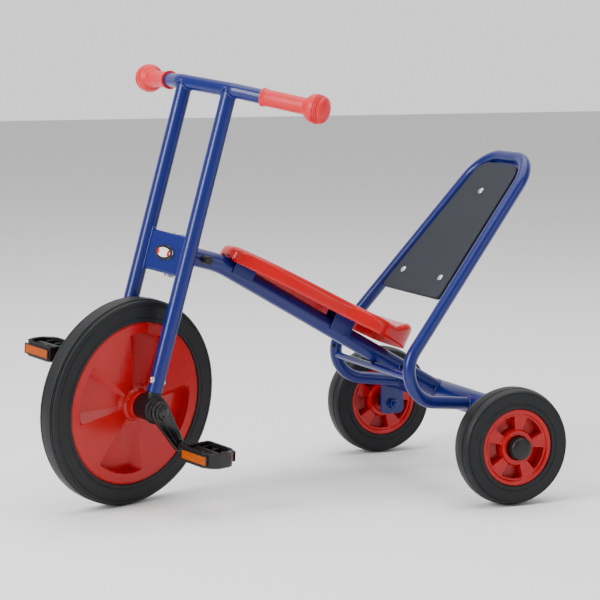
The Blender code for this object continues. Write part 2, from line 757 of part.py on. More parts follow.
def make_badge():
    """A plain oval on the yoke's front."""
    outline = [(0.023 * math.cos(t), 0.0125 * math.sin(t)) for t in (k * math.pi / 12 for k in range(24))]
    front = -YOKE_FRONT - GAP
    shape = prism(outline, front - 0.002, front, lambda a, b, c: (a, c, b))
    badge = add_object("badge", *shape, BADGE, steering)
    badge.location = (0, 0, (yoke_low + yoke_high) / 2)


def make_kingpin():
    above, below = yoke_high + GAP, yoke_low - GAP
    profile = [(0, below - NUT_HEIGHT), (KINGPIN_RADIUS, below - NUT_HEIGHT), (KINGPIN_RADIUS, above)]
    profile += [(0.0105, above), (0.0105, above + 0.0010), (0.0080, above + KINGPIN_HEAD)]
    profile += [(0, above + KINGPIN_HEAD)]
    add_object("kingpin", *spun(profile, 16), STEEL, steering)
    inner = bore(KINGPIN_RADIUS + GAP, 16)
    foot = below - NUT_HEIGHT
    nut = spun([(0.0085, foot), (0.0085, below), (inner, below), (inner, foot)], 12)
    add_object("kingpin_nut", *nut, STEEL, steering)

    low, high = HEAD_CENTRE - HEAD_LENGTH / 2, HEAD_CENTRE + HEAD_LENGTH / 2
    inner = bore(KINGPIN_RADIUS + RUNNING_GAP, 20)
    outer = HEAD_RADIUS - HEAD_WALL - GAP
    for name, edge, sign in (("head_bush_upper", high, 1), ("head_bush_lower", low, -1)):
        flange, tail = edge + (GAP + HEAD_BUSH_FLANGE) * sign, edge - 0.014 * sign
        profile = [(inner, flange), (HEAD_RADIUS, flange), (HEAD_RADIUS, edge + GAP * sign)]
        profile += [(outer, edge + GAP * sign), (outer, tail), (inner, tail)]
        add_object(name, *spun(profile, 20), BLACK, head)


def make_handlebar():
    add_object("handlebar", *swept(bar_path, HANDLEBAR_RADIUS, 16), BLUE, steering)
    inner = bore(HANDLEBAR_RADIUS + GAP, 16)
    start = HANDLEBAR_ARM - GRIP_LENGTH
    ball = GRIP_LENGTH + 0.002
    profile = [
        (inner, 0),
        (GRIP_RADIUS + 0.002, 0),
        (GRIP_RADIUS + 0.0015, 0.003),
        (GRIP_RADIUS, 0.008),
        (GRIP_RADIUS, ball - 0.014),
        (GRIP_RADIUS + 0.003, ball - 0.011),
        (GRIP_END_RADIUS - 0.002, ball - 0.008),
        (GRIP_END_RADIUS, ball - 0.003),
        (GRIP_END_RADIUS, ball + 0.003),
        (GRIP_END_RADIUS - 0.0025, ball + 0.008),
        (GRIP_END_RADIUS * 0.55, ball + 0.0125),
        (0, ball + 0.014),
    ]
    inside = [(0, GRIP_LENGTH + GAP), (inner, GRIP_LENGTH + GAP)]
    for side, sign in SIDES:
        grip = add_object(f"grip_{side}", *spun(inside + profile, 16), GRIP_RED, steering)
        aim = Vector((math.cos(HANDLEBAR_SWEEP) * sign, math.sin(HANDLEBAR_SWEEP), 0))
        bend = Vector((HANDLEBAR_STRAIGHT * sign, -FORK_OFFSET, HANDLEBAR_HEIGHT))
        turn = aim.to_track_quat("Z", "Y").to_matrix().to_4x4()
        grip.matrix_basis = Matrix.Translation(bend + aim * start) @ turn


def make_housings():
    """Each housing is a cross tube around the axle, with a spigot that fits into its fork tube."""
    spigot = FORK_TUBE_RADIUS - FORK_TUBE_WALL - GAP
    inner = bore(AXLE_RADIUS + RUNNING_GAP, 20)
    for side, sign in SIDES:
        profile = [
            (inner, HOUSING_INNER),
            (HOUSING_RADIUS - 0.001, HOUSING_INNER),
            (HOUSING_RADIUS, HOUSING_INNER + 0.001),
            (HOUSING_RADIUS, HOUSING_OUTER - 0.008),
            (HOUSING_RADIUS + 0.0015, HOUSING_OUTER - 0.007),
            (HOUSING_RADIUS + 0.0015, HOUSING_OUTER - 0.004),
            (HOUSING_RADIUS - 0.003, HOUSING_OUTER - 0.003),
            (HOUSING_RADIUS - 0.004, HOUSING_OUTER),
            (inner, HOUSING_OUTER),
        ]
        shape = spun([(radius, along * sign) for radius, along in profile], 20, "X")
        housing = add_object(f"bearing_housing_{side}", *shape, BLACK, steering)
        housing.location = (0, -FORK_OFFSET, 0)
        foot = HOUSING_RADIUS - 0.008
        shoulder = FORK_TUBE_START - GAP
        stem = [(0, foot), (FORK_TUBE_RADIUS, foot), (FORK_TUBE_RADIUS, shoulder)]
        stem += [(spigot, shoulder), (spigot, shoulder + 0.030), (0, shoulder + 0.030)]
        move = Matrix.Translation((FORK_HALF_SPACING * sign, -FORK_OFFSET, 0))
        join(housing, f"housing_stem_{side}", placed(spun(stem, 20), move), steering)


# Front wheel and drive ------------------------------------------------------------------------------------


def make_front_wheel():
    inner = bore(FRONT_RIM_RADIUS + GAP, 40)
    half = FRONT_HALF_WIDTH
    profile = [
        (inner, -half + 0.002),
        (inner + 0.004, -half),
        (FRONT_RADIUS - 0.008, -half),
        (FRONT_RADIUS - 0.002, -FRONT_CROWN - 0.002),
        (FRONT_RADIUS, -FRONT_CROWN),
        (FRONT_RADIUS, FRONT_CROWN),
        (FRONT_RADIUS - 0.002, FRONT_CROWN + 0.002),
        (FRONT_RADIUS - 0.008, half),
        (inner + 0.004, half),
        (inner, half - 0.002),
    ]
    add_object("front_tyre", *spun(profile, 40, "X"), TYRE, front_wheel)

    hole = bore(AXLE_RADIUS + GAP, 32)
    face, hub = FRONT_RIM_HALF_WIDTH, FRONT_HUB_HALF_WIDTH
    radii = (hole, FRONT_HUB_RADIUS - 0.002, FRONT_HUB_RADIUS, 0.040, 0.112, 0.120, FRONT_RIM_RADIUS)
    faces = (hub, hub, face, face, face, face, face)
    floors = (hub, hub, face, face - 0.012, face - 0.010, face, face)
    shape = disc_with_pockets(radii, faces, floors, 32, FRONT_POCKETS, FRONT_POCKET_ANGLE, 0.55)
    add_object("front_rim", *shape, RED, front_wheel)

    reach = HOUSING_OUTER + GAP + CRANK_THICKNESS
    add_object("front_axle", *rod(AXLE_RADIUS, -reach, reach, 20, "X"), STEEL, front_wheel)


def crank_outline():
    """The arm's outline along +a: a wide boss at the axle and a small one at the pedal."""
    slant = math.asin((CRANK_BOSS_RADIUS - CRANK_END_RADIUS) / CRANK_LENGTH)
    right_angle = math.pi / 2
    boss = arc((0, 0), CRANK_BOSS_RADIUS, right_angle - slant, 3 * right_angle + slant, 12)
    end = arc((CRANK_LENGTH, 0), CRANK_END_RADIUS, -right_angle + slant, right_angle - slant, 8)
    return boss + end


def make_drive():
    crank_low = HOUSING_OUTER + RUNNING_GAP
    crank_high = crank_low + CRANK_THICKNESS
    spindle_end = PEDAL_INNER + PEDAL_LENGTH - 0.006
    for side, sign in SIDES:
        turn = Matrix.Rotation(-CRANK_ANGLE + (0 if sign > 0 else math.pi), 4, "X")
        shape = placed(prism(crank_outline(), crank_low, crank_high, lambda a, b, c: (c * sign, a, b)), turn)
        crank = add_object(f"crank_{side}", *shape, BLACK, front_wheel)
        hole = rod(bore(AXLE_RADIUS + GAP, 20), 0.05 * sign, 0.12 * sign, 20, "X")
        cut(crank, f"crank_{side}_hole", hole, front_wheel)
        move = turn @ Matrix.Translation((0, CRANK_LENGTH, 0))
        spindle = placed(rod(SPINDLE_RADIUS, (crank_low + 0.004) * sign, spindle_end * sign, 16, "X"), move)
        join(crank, f"crank_{side}_spindle", spindle, front_wheel)

        cap_low = crank_high + GAP
        profile = [(0, cap_low), (0.0105, cap_low), (0.0105, cap_low + 0.002)]
        profile += [(0.007, cap_low + 0.0025), (0.0065, cap_low + 0.006), (0, cap_low + 0.0065)]
        shape = spun([(radius, along * sign) for radius, along in profile], 16, "X")
        add_object(f"crank_cap_{side}", *shape, STEEL, front_wheel)

        arm = move.to_translation()
        level = Matrix.Rotation(PEDAL_TILT, 4, "X")
        pedal_frame = empty(f"pedal_{side}_axis", front_wheel, Matrix.Translation(arm) @ level)
        make_pedal(side, sign, pedal_frame)


def pedal_outline():
    """The pedal's end view: a rounded block with toothed treads above and below."""
    half_depth, half_height = PEDAL_DEPTH / 2, PEDAL_HEIGHT / 2
    teeth = 6
    pitch = (PEDAL_DEPTH - 0.010) / teeth
    top = []
    for k in range(teeth):
        left = -half_depth + 0.005 + k * pitch
        top += [(left, half_height - PEDAL_TOOTH), (left + pitch * 0.25, half_height)]
        top += [(left + pitch * 0.75, half_height)]
    top.append((half_depth - 0.005, half_height - PEDAL_TOOTH))
    upper = [(-half_depth, half_height - 0.006), *top, (half_depth, half_height - 0.006)]
    lower = [(-a, -b) for a, b in upper]
    return upper + lower


def make_pedal(side, sign, frame):
    ends = (PEDAL_INNER, PEDAL_INNER + PEDAL_LENGTH)
    shape = prism(pedal_outline(), *ends, lambda a, b, c: (c * sign, a, b))
    pedal = add_object(f"pedal_{side}", *shape, BLACK, frame, smooth=False)
    hole = rod(bore(SPINDLE_RADIUS + RUNNING_GAP, 16), 0.05 * sign, (ends[1] - 0.004) * sign, 16, "X")
    cut(pedal, f"pedal_{side}_hole", hole, frame)
    middle = PEDAL_INNER + PEDAL_LENGTH / 2
    for end, facing in (("front", -1), ("rear", 1)):
        inner = PEDAL_DEPTH / 2 + GAP
        low = (-REFLECTOR_LENGTH / 2, 0, -REFLECTOR_HEIGHT / 2)
        high = (REFLECTOR_LENGTH / 2, REFLECTOR_THICKNESS * facing, REFLECTOR_HEIGHT / 2)
        shape = placed(box(low, high), Matrix.Translation((middle * sign, inner * facing, 0)))
        add_object(f"pedal_reflector_{side}_{end}", *shape, AMBER, frame, smooth=False)


# Rear wheels ----------------------------------------------------------------------------------------------


def make_rear_wheels():
    steps = 40
    ground = bore(REAR_RADIUS, steps)
    half = REAR_HALF_WIDTH
    rim = bore(REAR_RIM_RADIUS + GAP, steps)
    tyre_profile = [
        (rim, -half + 0.002),
        (rim + 0.004, -half),
        (REAR_RADIUS - 0.009, -half),
        (REAR_RADIUS - 0.002, -REAR_CROWN - 0.004),
        (ground, -REAR_CROWN),
        (ground, REAR_CROWN),
        (REAR_RADIUS - 0.002, REAR_CROWN + 0.004),
        (REAR_RADIUS - 0.009, half),
        (rim + 0.004, half),
        (rim, half - 0.002),
    ]
    face = REAR_RIM_HALF_WIDTH
    hole = bore(AXLE_BOLT_RADIUS + RUNNING_GAP + BUSH_WALL + GAP, 40)
    radii = (hole, REAR_HUB_RADIUS, REAR_HUB_RADIUS + 0.004, 0.052, 0.056, REAR_RIM_RADIUS)
    faces = (face, face, face, face, face, face)
    floors = (face, face, face - 0.012, face - 0.011, face, face)
    rim_shape = disc_with_pockets(radii, faces, floors, 40, REAR_POCKETS, REAR_POCKET_ANGLE, 0.55)
    plate_outer = AXLE_PLATE_X + AXLE_PLATE_THICKNESS / 2
    plate_inner = AXLE_PLATE_X - AXLE_PLATE_THICKNESS / 2
    middle = REAR_TRACK / 2
    for side, sign in SIDES:
        wheel = empty(f"rear_wheel_{side}", trike, Matrix.Translation((middle * sign, 0, 0)))
        add_object(f"rear_tyre_{side}", *spun(tyre_profile, steps, "X"), TYRE, wheel)
        add_object(f"rear_rim_{side}", *rim_shape, RED, wheel)

        inner = bore(AXLE_BOLT_RADIUS + RUNNING_GAP, 16)
        sleeve = AXLE_BOLT_RADIUS + RUNNING_GAP + BUSH_WALL
        flange_low = plate_outer + GAP - middle
        flange_high = -face - GAP
        profile = [
            (inner, flange_low),
            (sleeve + 0.004, flange_low),
            (sleeve + 0.004, flange_high),
            (sleeve, flange_high),
            (sleeve, face),
            (inner, face),
        ]
        shape = spun([(radius, along * sign) for radius, along in profile], 16, "X")
        add_object(f"rear_wheel_bush_{side}", *shape, BLACK, wheel)

        low = face + GAP
        hollow = low + 0.013
        profile = [
            (0, hollow),
            (0.011, hollow),
            (0.011, low),
            (HUB_CAP_RADIUS, low),
            (HUB_CAP_RADIUS, face + HUB_CAP_REACH - 0.005),
            (HUB_CAP_RADIUS - 0.003, face + HUB_CAP_REACH - 0.001),
            (HUB_CAP_RADIUS * 0.5, face + HUB_CAP_REACH),
            (0, face + HUB_CAP_REACH),
        ]
        shape = spun([(radius, along * sign) for radius, along in profile], 16, "X")
        add_object(f"rear_hub_cap_{side}", *shape, BLACK, wheel)

        head_face = plate_inner - GAP
        end = middle + face + 0.0085
        profile = [
            (0, head_face - 0.008),
            (0.0065, head_face - 0.008),
            (0.0065, head_face - 0.0018),
            (0.010, head_face - 0.0018),
            (0.010, head_face),
            (AXLE_BOLT_RADIUS, head_face),
            (AXLE_BOLT_RADIUS, middle + face + 0.002),
            (0.008, middle + face + 0.002),
            (0.008, end),
            (0, end),
        ]
        shape = spun([(radius, along * sign) for radius, along in profile], 16, "X")
        add_object(f"rear_axle_bolt_{side}", *shape, STEEL, trike)


make_frame()
make_beam_ends()
make_knee_bar()
make_buffers()
make_backrest()
make_seat()
make_fork()
make_badge()
make_kingpin()
make_handlebar()
make_housings()
make_front_wheel()
make_drive()
make_rear_wheels()
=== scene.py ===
import json
import math

import bmesh
import bpy
from mathutils import Matrix, Vector

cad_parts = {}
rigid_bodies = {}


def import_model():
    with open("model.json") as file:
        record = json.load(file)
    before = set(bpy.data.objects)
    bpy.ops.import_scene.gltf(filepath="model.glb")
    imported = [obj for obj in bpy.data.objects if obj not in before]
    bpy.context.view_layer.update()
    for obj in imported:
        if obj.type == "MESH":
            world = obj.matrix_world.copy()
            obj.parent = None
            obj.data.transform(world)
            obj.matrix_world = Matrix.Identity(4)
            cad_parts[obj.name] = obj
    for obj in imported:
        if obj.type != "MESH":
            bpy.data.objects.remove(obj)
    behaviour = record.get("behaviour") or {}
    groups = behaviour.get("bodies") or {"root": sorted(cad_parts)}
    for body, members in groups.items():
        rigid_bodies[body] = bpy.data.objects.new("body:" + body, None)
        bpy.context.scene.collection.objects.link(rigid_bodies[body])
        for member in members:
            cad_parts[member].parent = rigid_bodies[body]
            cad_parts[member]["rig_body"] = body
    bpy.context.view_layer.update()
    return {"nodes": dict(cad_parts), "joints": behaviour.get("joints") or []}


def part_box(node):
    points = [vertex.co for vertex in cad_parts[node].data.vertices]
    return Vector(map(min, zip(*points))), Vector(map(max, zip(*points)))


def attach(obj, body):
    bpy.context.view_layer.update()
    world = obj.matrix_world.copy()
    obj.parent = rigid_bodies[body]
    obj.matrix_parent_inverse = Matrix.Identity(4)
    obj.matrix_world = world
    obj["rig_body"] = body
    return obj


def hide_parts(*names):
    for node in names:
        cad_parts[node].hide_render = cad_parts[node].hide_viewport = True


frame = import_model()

# Main tube: one steel tube, 32 mm across, that leaves the steering head square to it, bends down once and
# runs straight to the rear beam. It is welded to both and powder coated blue with the rest of the frame.
# Its ends, like every other piece, are placed from the joints' axes.
joints = {joint["name"]: joint for joint in frame["joints"]}


def joint_point(name):
    return Vector(joints[name]["pos_m"])


def place_from(origin, across, up):
    """A matrix with X across, Z up and Y pointing back."""
    back = up.cross(across)
    turn = Matrix((across, back, up)).transposed().to_4x4()
    return Matrix.Translation(origin) @ turn


steer_axis = Vector(joints["steering_turn"]["axis"]).normalized()
wheel_axis = Vector(joints["front_wheel_spin"]["axis"]).normalized()
steering_place = place_from(joint_point("steering_turn"), wheel_axis, steer_axis)
head_place = place_from(joint_point("steering_turn"), Vector((1, 0, 0)), steer_axis)
front_wheel_place = place_from(joint_point("front_wheel_spin"), wheel_axis, steer_axis)
rear_axle = Vector((0, joint_point("rear_wheel_left_spin").y, joint_point("rear_wheel_left_spin").z))
SIDES = (("left", 1), ("right", -1))


# Its finish is built from three surface effects that the other finishes use too: mottle changes the colour
# and gloss slowly, grain gives fine relief, and settled dust lightens what faces up.
def new_group(name, inputs, outputs):
    group = bpy.data.node_groups.new(name, "ShaderNodeTree")
    for label, kind in inputs:
        group.interface.new_socket(label, in_out="INPUT", socket_type=f"NodeSocket{kind}")
    for label, kind in outputs:
        group.interface.new_socket(label, in_out="OUTPUT", socket_type=f"NodeSocket{kind}")
    return group, group.nodes.new("NodeGroupInput"), group.nodes.new("NodeGroupOutput")


def noise_at(group, scale_socket, detail):
    """A noise texture on the piece's own coordinates."""
    place = group.nodes.new("ShaderNodeTexCoord")
    noise = group.nodes.new("ShaderNodeTexNoise")
    noise.inputs["Detail"].default_value = detail
    group.links.new(place.outputs["Object"], noise.inputs["Vector"])
    group.links.new(scale_socket, noise.inputs["Scale"])
    return noise.outputs["Fac"]


mottle, given, result = new_group(
    "mottle", [("Colour", "Color"), ("Other Colour", "Color"), ("Scale", "Float"), ("Low Gloss", "Float"),
     ("High Gloss", "Float")],
    [("Colour", "Color"), ("Roughness", "Float")],
)
cloud = noise_at(mottle, given.outputs["Scale"], 4)
blend_colour = mottle.nodes.new("ShaderNodeMix")
blend_colour.data_type = "RGBA"
mottle.links.new(cloud, blend_colour.inputs["Factor"])
mottle.links.new(given.outputs["Colour"], blend_colour.inputs["A"])
mottle.links.new(given.outputs["Other Colour"], blend_colour.inputs["B"])
mottle.links.new(blend_colour.outputs["Result"], result.inputs["Colour"])
gloss = mottle.nodes.new("ShaderNodeMapRange")
mottle.links.new(cloud, gloss.inputs["Value"])
mottle.links.new(given.outputs["High Gloss"], gloss.inputs["To Min"])
mottle.links.new(given.outputs["Low Gloss"], gloss.inputs["To Max"])
mottle.links.new(gloss.outputs["Result"], result.inputs["Roughness"])

grain, given, result = new_group("grain", [("Scale", "Float"), ("Depth", "Float")], [("Normal", "Vector")])
relief = grain.nodes.new("ShaderNodeBump")
relief.inputs["Distance"].default_value = 0.001
grain.links.new(noise_at(grain, given.outputs["Scale"], 2), relief.inputs["Height"])
grain.links.new(given.outputs["Depth"], relief.inputs["Strength"])
grain.links.new(relief.outputs["Normal"], result.inputs["Normal"])

dust, given, result = new_group(
    "settled_dust", [("Colour", "Color"), ("Dust", "Color"), ("Amount", "Float")], [("Colour", "Color")]
)
shape = dust.nodes.new("ShaderNodeNewGeometry")
facing = dust.nodes.new("ShaderNodeSeparateXYZ")
dust.links.new(shape.outputs["Normal"], facing.inputs["Vector"])
lie = dust.nodes.new("ShaderNodeMath")
lie.operation = "MULTIPLY"
lie.use_clamp = True
dust.links.new(facing.outputs["Z"], lie.inputs[0])
dust.links.new(given.outputs["Amount"], lie.inputs[1])
cover = dust.nodes.new("ShaderNodeMix")
cover.data_type = "RGBA"
dust.links.new(lie.outputs["Value"], cover.inputs["Factor"])
dust.links.new(given.outputs["Colour"], cover.inputs["A"])
dust.links.new(given.outputs["Dust"], cover.inputs["B"])
dust.links.new(cover.outputs["Result"], result.inputs["Colour"])


def linear(red, green, blue):
    """A colour of 0 to 255 as the renderer's linear values."""
    def one(c):
        return ((c / 255 + 0.055) / 1.055) ** 2.4 if c > 10 else c / 255 / 12.92
    return (one(red), one(green), one(blue), 1)


def finish(name, colour, other, roughness, scale=30, grain_scale=900, grain_depth=0.1, dusty=0.0,
           **sockets):
    """A Principled finish with mottle, grain and a little dust; sockets are set on the shader itself."""
    made = bpy.data.materials.new(name)
    made.use_nodes = True
    tree = made.node_tree
    shader = tree.nodes["Principled BSDF"]
    for label, value in sockets.items():
        shader.inputs[label.replace("_", " ")].default_value = value
    base = tree.nodes.new("ShaderNodeGroup")
    base.node_tree = mottle
    base.inputs["Colour"].default_value = linear(*colour)
    base.inputs["Other Colour"].default_value = linear(*other)
    base.inputs["Scale"].default_value = scale
    base.inputs["Low Gloss"].default_value = roughness[1]
    base.inputs["High Gloss"].default_value = roughness[0]
    tree.links.new(base.outputs["Roughness"], shader.inputs["Roughness"])
    top = tree.nodes.new("ShaderNodeGroup")
    top.node_tree = dust
    top.inputs["Dust"].default_value = linear(150, 148, 145)
    top.inputs["Amount"].default_value = dusty
    tree.links.new(base.outputs["Colour"], top.inputs["Colour"])
    tree.links.new(top.outputs["Colour"], shader.inputs["Base Color"])
    skin = tree.nodes.new("ShaderNodeGroup")
    skin.node_tree = grain
    skin.inputs["Scale"].default_value = grain_scale
    skin.inputs["Depth"].default_value = grain_depth
    tree.links.new(skin.outputs["Normal"], shader.inputs["Normal"])
    return made


blue_paint = finish(
    "blue_powder_coat", (10, 26, 104), (8, 21, 92), (0.24, 0.34), scale=14, grain_scale=700,
    grain_depth=0.06, Specular_IOR_Level=0.35, Coat_Weight=0.15, Coat_Roughness=0.1,
)
SHARP = math.radians(32)


def add_piece(name, points, faces, material, body, stands_for=(), slot_name=None, place=None, sharp=SHARP):
    """A mesh piece that rides on a body and stands for the CAD nodes named."""
    mesh = bpy.data.meshes.new(name)
    mesh.from_pydata([tuple(place @ Vector(p) if place else p) for p in points], [], faces)
    work = bmesh.new()
    work.from_mesh(mesh)
    bmesh.ops.remove_doubles(work, verts=work.verts, dist=1e-6)
    bmesh.ops.recalc_face_normals(work, faces=work.faces)
    work.to_mesh(mesh)
    work.free()
    mesh.shade_smooth()
    mesh.set_sharp_from_angle(angle=sharp)
    mesh.materials.append(material)
    piece = bpy.data.objects.new(name, mesh)
    bpy.context.scene.collection.objects.link(piece)
    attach(piece, body)
    if stands_for:
        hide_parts(*stands_for)
    return piece


def soften(piece, width, segments=2, angle=30):
    """Rounds the piece's sharp edges."""
    edges = piece.modifiers.new("rounded edges", "BEVEL")
    edges.width = width
    edges.segments = segments
    edges.limit_method = "ANGLE"
    edges.angle_limit = math.radians(angle)
    edges.harden_normals = True
    return piece


def rounded_path(corners, radii, arc_step=math.radians(3)):
    """The corners joined by straight runs, with each inner corner rounded to its radius."""
    path = [corners[0]]
    for before, corner, after, radius in zip(corners, corners[1:], corners[2:], radii):
        into = (corner - before).normalized()
        out = (after - corner).normalized()
        turn = into.angle(out)
        start = corner - into * radius * math.tan(turn / 2)
        axis = into.cross(out).normalized()
        centre = start + axis.cross(into) * radius
        steps = max(3, round(turn / arc_step))
        for k in range(steps + 1):
            path.append(centre + Matrix.Rotation(turn * k / steps, 3, axis) @ (start - centre))
    path.append(corners[-1])
    return path


def swept(path, radius, sides=40, closed=False):
    """Points and faces of a round bar along a path; radius may be a function of the point's number."""
    points, faces = [], []
    side, count = None, len(path)
    for k, place in enumerate(path):
        last, after = (k - 1, (k + 1) % count) if closed else (max(k - 1, 0), min(k + 1, count - 1))
        ahead = (path[after] - path[last]).normalized()
        if side is None:
            side = Vector((1, 0, 0)) if abs(ahead.x) < 0.9 else Vector((0, 1, 0))
        side = (side - ahead * side.dot(ahead)).normalized()
        up = ahead.cross(side)
        here = radius(k) if callable(radius) else radius
        for n in range(sides):
            turn = n * 2 * math.pi / sides
            points.append(place + (side * math.cos(turn) + up * math.sin(turn)) * here)
    for k in range(count if closed else count - 1):
        low, high = k * sides, (k + 1) % count * sides
        for n in range(sides):
            m = (n + 1) % sides
            faces.append((low + n, low + m, high + m, high + n))
    if not closed:
        faces += [tuple(range(sides)), tuple(range(len(points) - sides, len(points)))]
    return points, faces


MAIN_TUBE_RADIUS = 0.016
NECK_HEIGHT, NECK_LENGTH, NECK_BEND = 0.2595, 0.083, 0.16
BEAM_RISE = 0.052
beam_centre = rear_axle + Vector((0, 0, BEAM_RISE))
neck_start = head_place @ Vector((0, 0, NECK_HEIGHT))
neck_end = head_place @ Vector((0, NECK_LENGTH, NECK_HEIGHT))
neck_back = (neck_end - neck_start).normalized()
tube_run = (beam_centre - neck_end).normalized()
main_path = rounded_path([neck_start + neck_back * 0.015, neck_end, beam_centre - tube_run * 0.018],
                         [NECK_BEND])
add_piece("main_tube_bent", *swept(main_path, MAIN_TUBE_RADIUS, 48), blue_paint, "root", ["main_tube"],
          "blue_paint")


# Welds: each tube end is welded all round to the tube it meets. The bead is a low ripple, painted over.
def weld_bead(name, start, along, radius, host, host_along, host_radius, body, bead=0.0022):
    """A bead where a tube that runs from start meets a host tube."""
    along, host_along = along.normalized(), host_along.normalized()
    side = along.orthogonal().normalized()
    up = along.cross(side)
    across = along - host_along * along.dot(host_along)
    path = []
    for k in range(72):
        turn = k * math.pi / 36
        begin = start + (side * math.cos(turn) + up * math.sin(turn)) * radius
        apart = begin - host
        apart -= host_along * apart.dot(host_along)
        a, b, c = across.dot(across), apart.dot(across), apart.dot(apart) - host_radius ** 2
        root = max(b * b - a * c, 0)
        path.append(begin + along * (-b - math.sqrt(root)) / a)
    shape = swept(path, lambda k: bead * (1 + 0.14 * math.sin(k * 2 * math.pi / 3)), 10, closed=True)
    return add_piece(name, *shape, blue_paint, body, sharp=math.pi)


weld_bead("weld_main_tube_to_beam", neck_end, tube_run, MAIN_TUBE_RADIUS, beam_centre, Vector((1, 0, 0)),
          0.021, "root")
weld_bead("weld_main_tube_to_head", neck_end, -neck_back, MAIN_TUBE_RADIUS, neck_start, steer_axis, 0.017,
          "root")


# Head tube and its bushes: a short steel tube, reamed for two flanged plastic bushes that are pressed in.
def spun(profile, steps=64, axis="X"):
    """Points and faces of a profile of (radius, along) turned about an axis; off the axis it is a ring."""
    points, rows = [], []
    for radius, along in profile:
        turns = [0] if radius == 0 else [k * 2 * math.pi / steps for k in range(steps)]
        rows.append([len(points) + k % len(turns) for k in range(steps)])
        for t in turns:
            a, b = radius * math.cos(t), radius * math.sin(t)
            points.append(Vector((along, a, b)) if axis == "X" else Vector((a, b, along)))
    pairs = list(zip(rows, rows[1:]))
    if profile[0][0] or profile[-1][0]:
        pairs.append((rows[-1], rows[0]))
    faces = []
    for low, high in pairs:
        for k in range(steps):
            m = (k + 1) % steps
            faces.append(tuple(dict.fromkeys((low[k], low[m], high[m], high[k]))))
    return points, faces


def rounded_outline(corners, radii, steps=4):
    """An outline of (a, b) with each corner rounded to its radius."""
    outline, count = [], len(corners)
    for k, (corner, radius) in enumerate(zip(corners, radii)):
        here = Vector(corner)
        into = (here - Vector(corners[k - 1])).normalized()
        out = (Vector(corners[(k + 1) % count]) - here).normalized()
        turn = into.angle(out)
        if radius == 0 or turn < 1e-4:
            outline.append(tuple(here))
            continue
        start = here - into * radius * math.tan(turn / 2)
        sense = 1 if into.x * out.y - into.y * out.x > 0 else -1
        centre = start + Vector((-into.y, into.x)) * radius * sense
        for n in range(steps + 1):
            outline.append(tuple(centre + Matrix.Rotation(sense * turn * n / steps, 2) @ (start - centre)))
    return outline


HEAD_RADIUS, HEAD_CENTRE, HEAD_LENGTH = 0.017, 0.2550, 0.057
head_low, head_high = HEAD_CENTRE - HEAD_LENGTH / 2, HEAD_CENTRE + HEAD_LENGTH / 2
black_plastic = finish(
    "black_moulded_plastic", (12, 12, 13), (19, 19, 21), (0.28, 0.42), scale=60, grain_scale=1500,
    grain_depth=0.12, Specular_IOR_Level=0.35,
)
profile = rounded_outline(
    [(HEAD_RADIUS, head_low), (HEAD_RADIUS, head_high), (0.0141, head_high), (0.0141, head_low)],
    [0.0006] * 4
)
add_piece("head_tube_reamed", *spun(profile, 56, "Z"), blue_paint, "root", ["head_tube"], "blue_paint",
          head_place)
for node in ("head_bush_upper", "head_bush_lower"):
    frame["nodes"][node].data.materials.clear()
    frame["nodes"][node].data.materials.append(black_plastic)


# Rear cross beam: a straight 42 mm tube, open at both ends, closed there by ribbed plastic plugs. A flat
# steel plate is welded under each end and carries the axle bolt.
BEAM_RADIUS, BEAM_HALF, BEAM_WALL = 0.021, 0.200, 0.0025
beam_place = Matrix.Translation(beam_centre)
inner = BEAM_RADIUS - BEAM_WALL
profile = rounded_outline(
    [(BEAM_RADIUS, -BEAM_HALF), (BEAM_RADIUS, BEAM_HALF), (inner, BEAM_HALF), (inner, -BEAM_HALF)],
    [0.0006] * 4
)
add_piece("cross_beam_tube", *spun(profile, 72), blue_paint, "root", ["cross_beam"], "blue_paint",
          beam_place)
for side, sign in SIDES:
    profile = [(inner - 0.0006, BEAM_HALF - 0.012), (inner - 0.0002, BEAM_HALF - 0.002)]
    profile += [(BEAM_RADIUS - 0.0004, BEAM_HALF + 0.0002), (BEAM_RADIUS - 0.0012, BEAM_HALF + 0.0020)]
    profile += [(BEAM_RADIUS - 0.004, BEAM_HALF + 0.0030), (0.009, BEAM_HALF + 0.0036),
                (0.008, BEAM_HALF + 0.0026)]
    profile += [(0, BEAM_HALF + 0.0024)]
    shape = spun([(0, BEAM_HALF - 0.012)] + profile, 56)
    mirror = beam_place @ Matrix.Diagonal((sign, 1, 1, 1))
    add_piece(f"beam_plug_dished_{side}", *shape, black_plastic, "root", [f"beam_plug_{side}"],
              "black_plastic", mirror)


def refined(node, material, width, slot_name, segments=2):
    """The same shape as a CAD node with its edges rounded, standing for it."""
    mesh = frame["nodes"][node].data
    points = [v.co.copy() for v in mesh.vertices]
    faces = [tuple(p.vertices) for p in mesh.polygons]
    body = frame["nodes"][node]["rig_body"]
    piece = add_piece(f"{node}_finished", points, faces, material, body, [node], slot_name)
    work = bmesh.new()
    work.from_mesh(piece.data)
    bmesh.ops.remove_doubles(work, verts=work.verts, dist=2e-5)
    bmesh.ops.dissolve_limit(work, angle_limit=math.radians(1), verts=work.verts, edges=work.edges)
    work.to_mesh(piece.data)
    work.free()
    piece.data.shade_smooth()
    piece.data.set_sharp_from_angle(angle=SHARP)
    return soften(piece, width, segments)


for side, sign in SIDES:
    refined(f"axle_plate_{side}", blue_paint, 0.0009, "blue_paint")


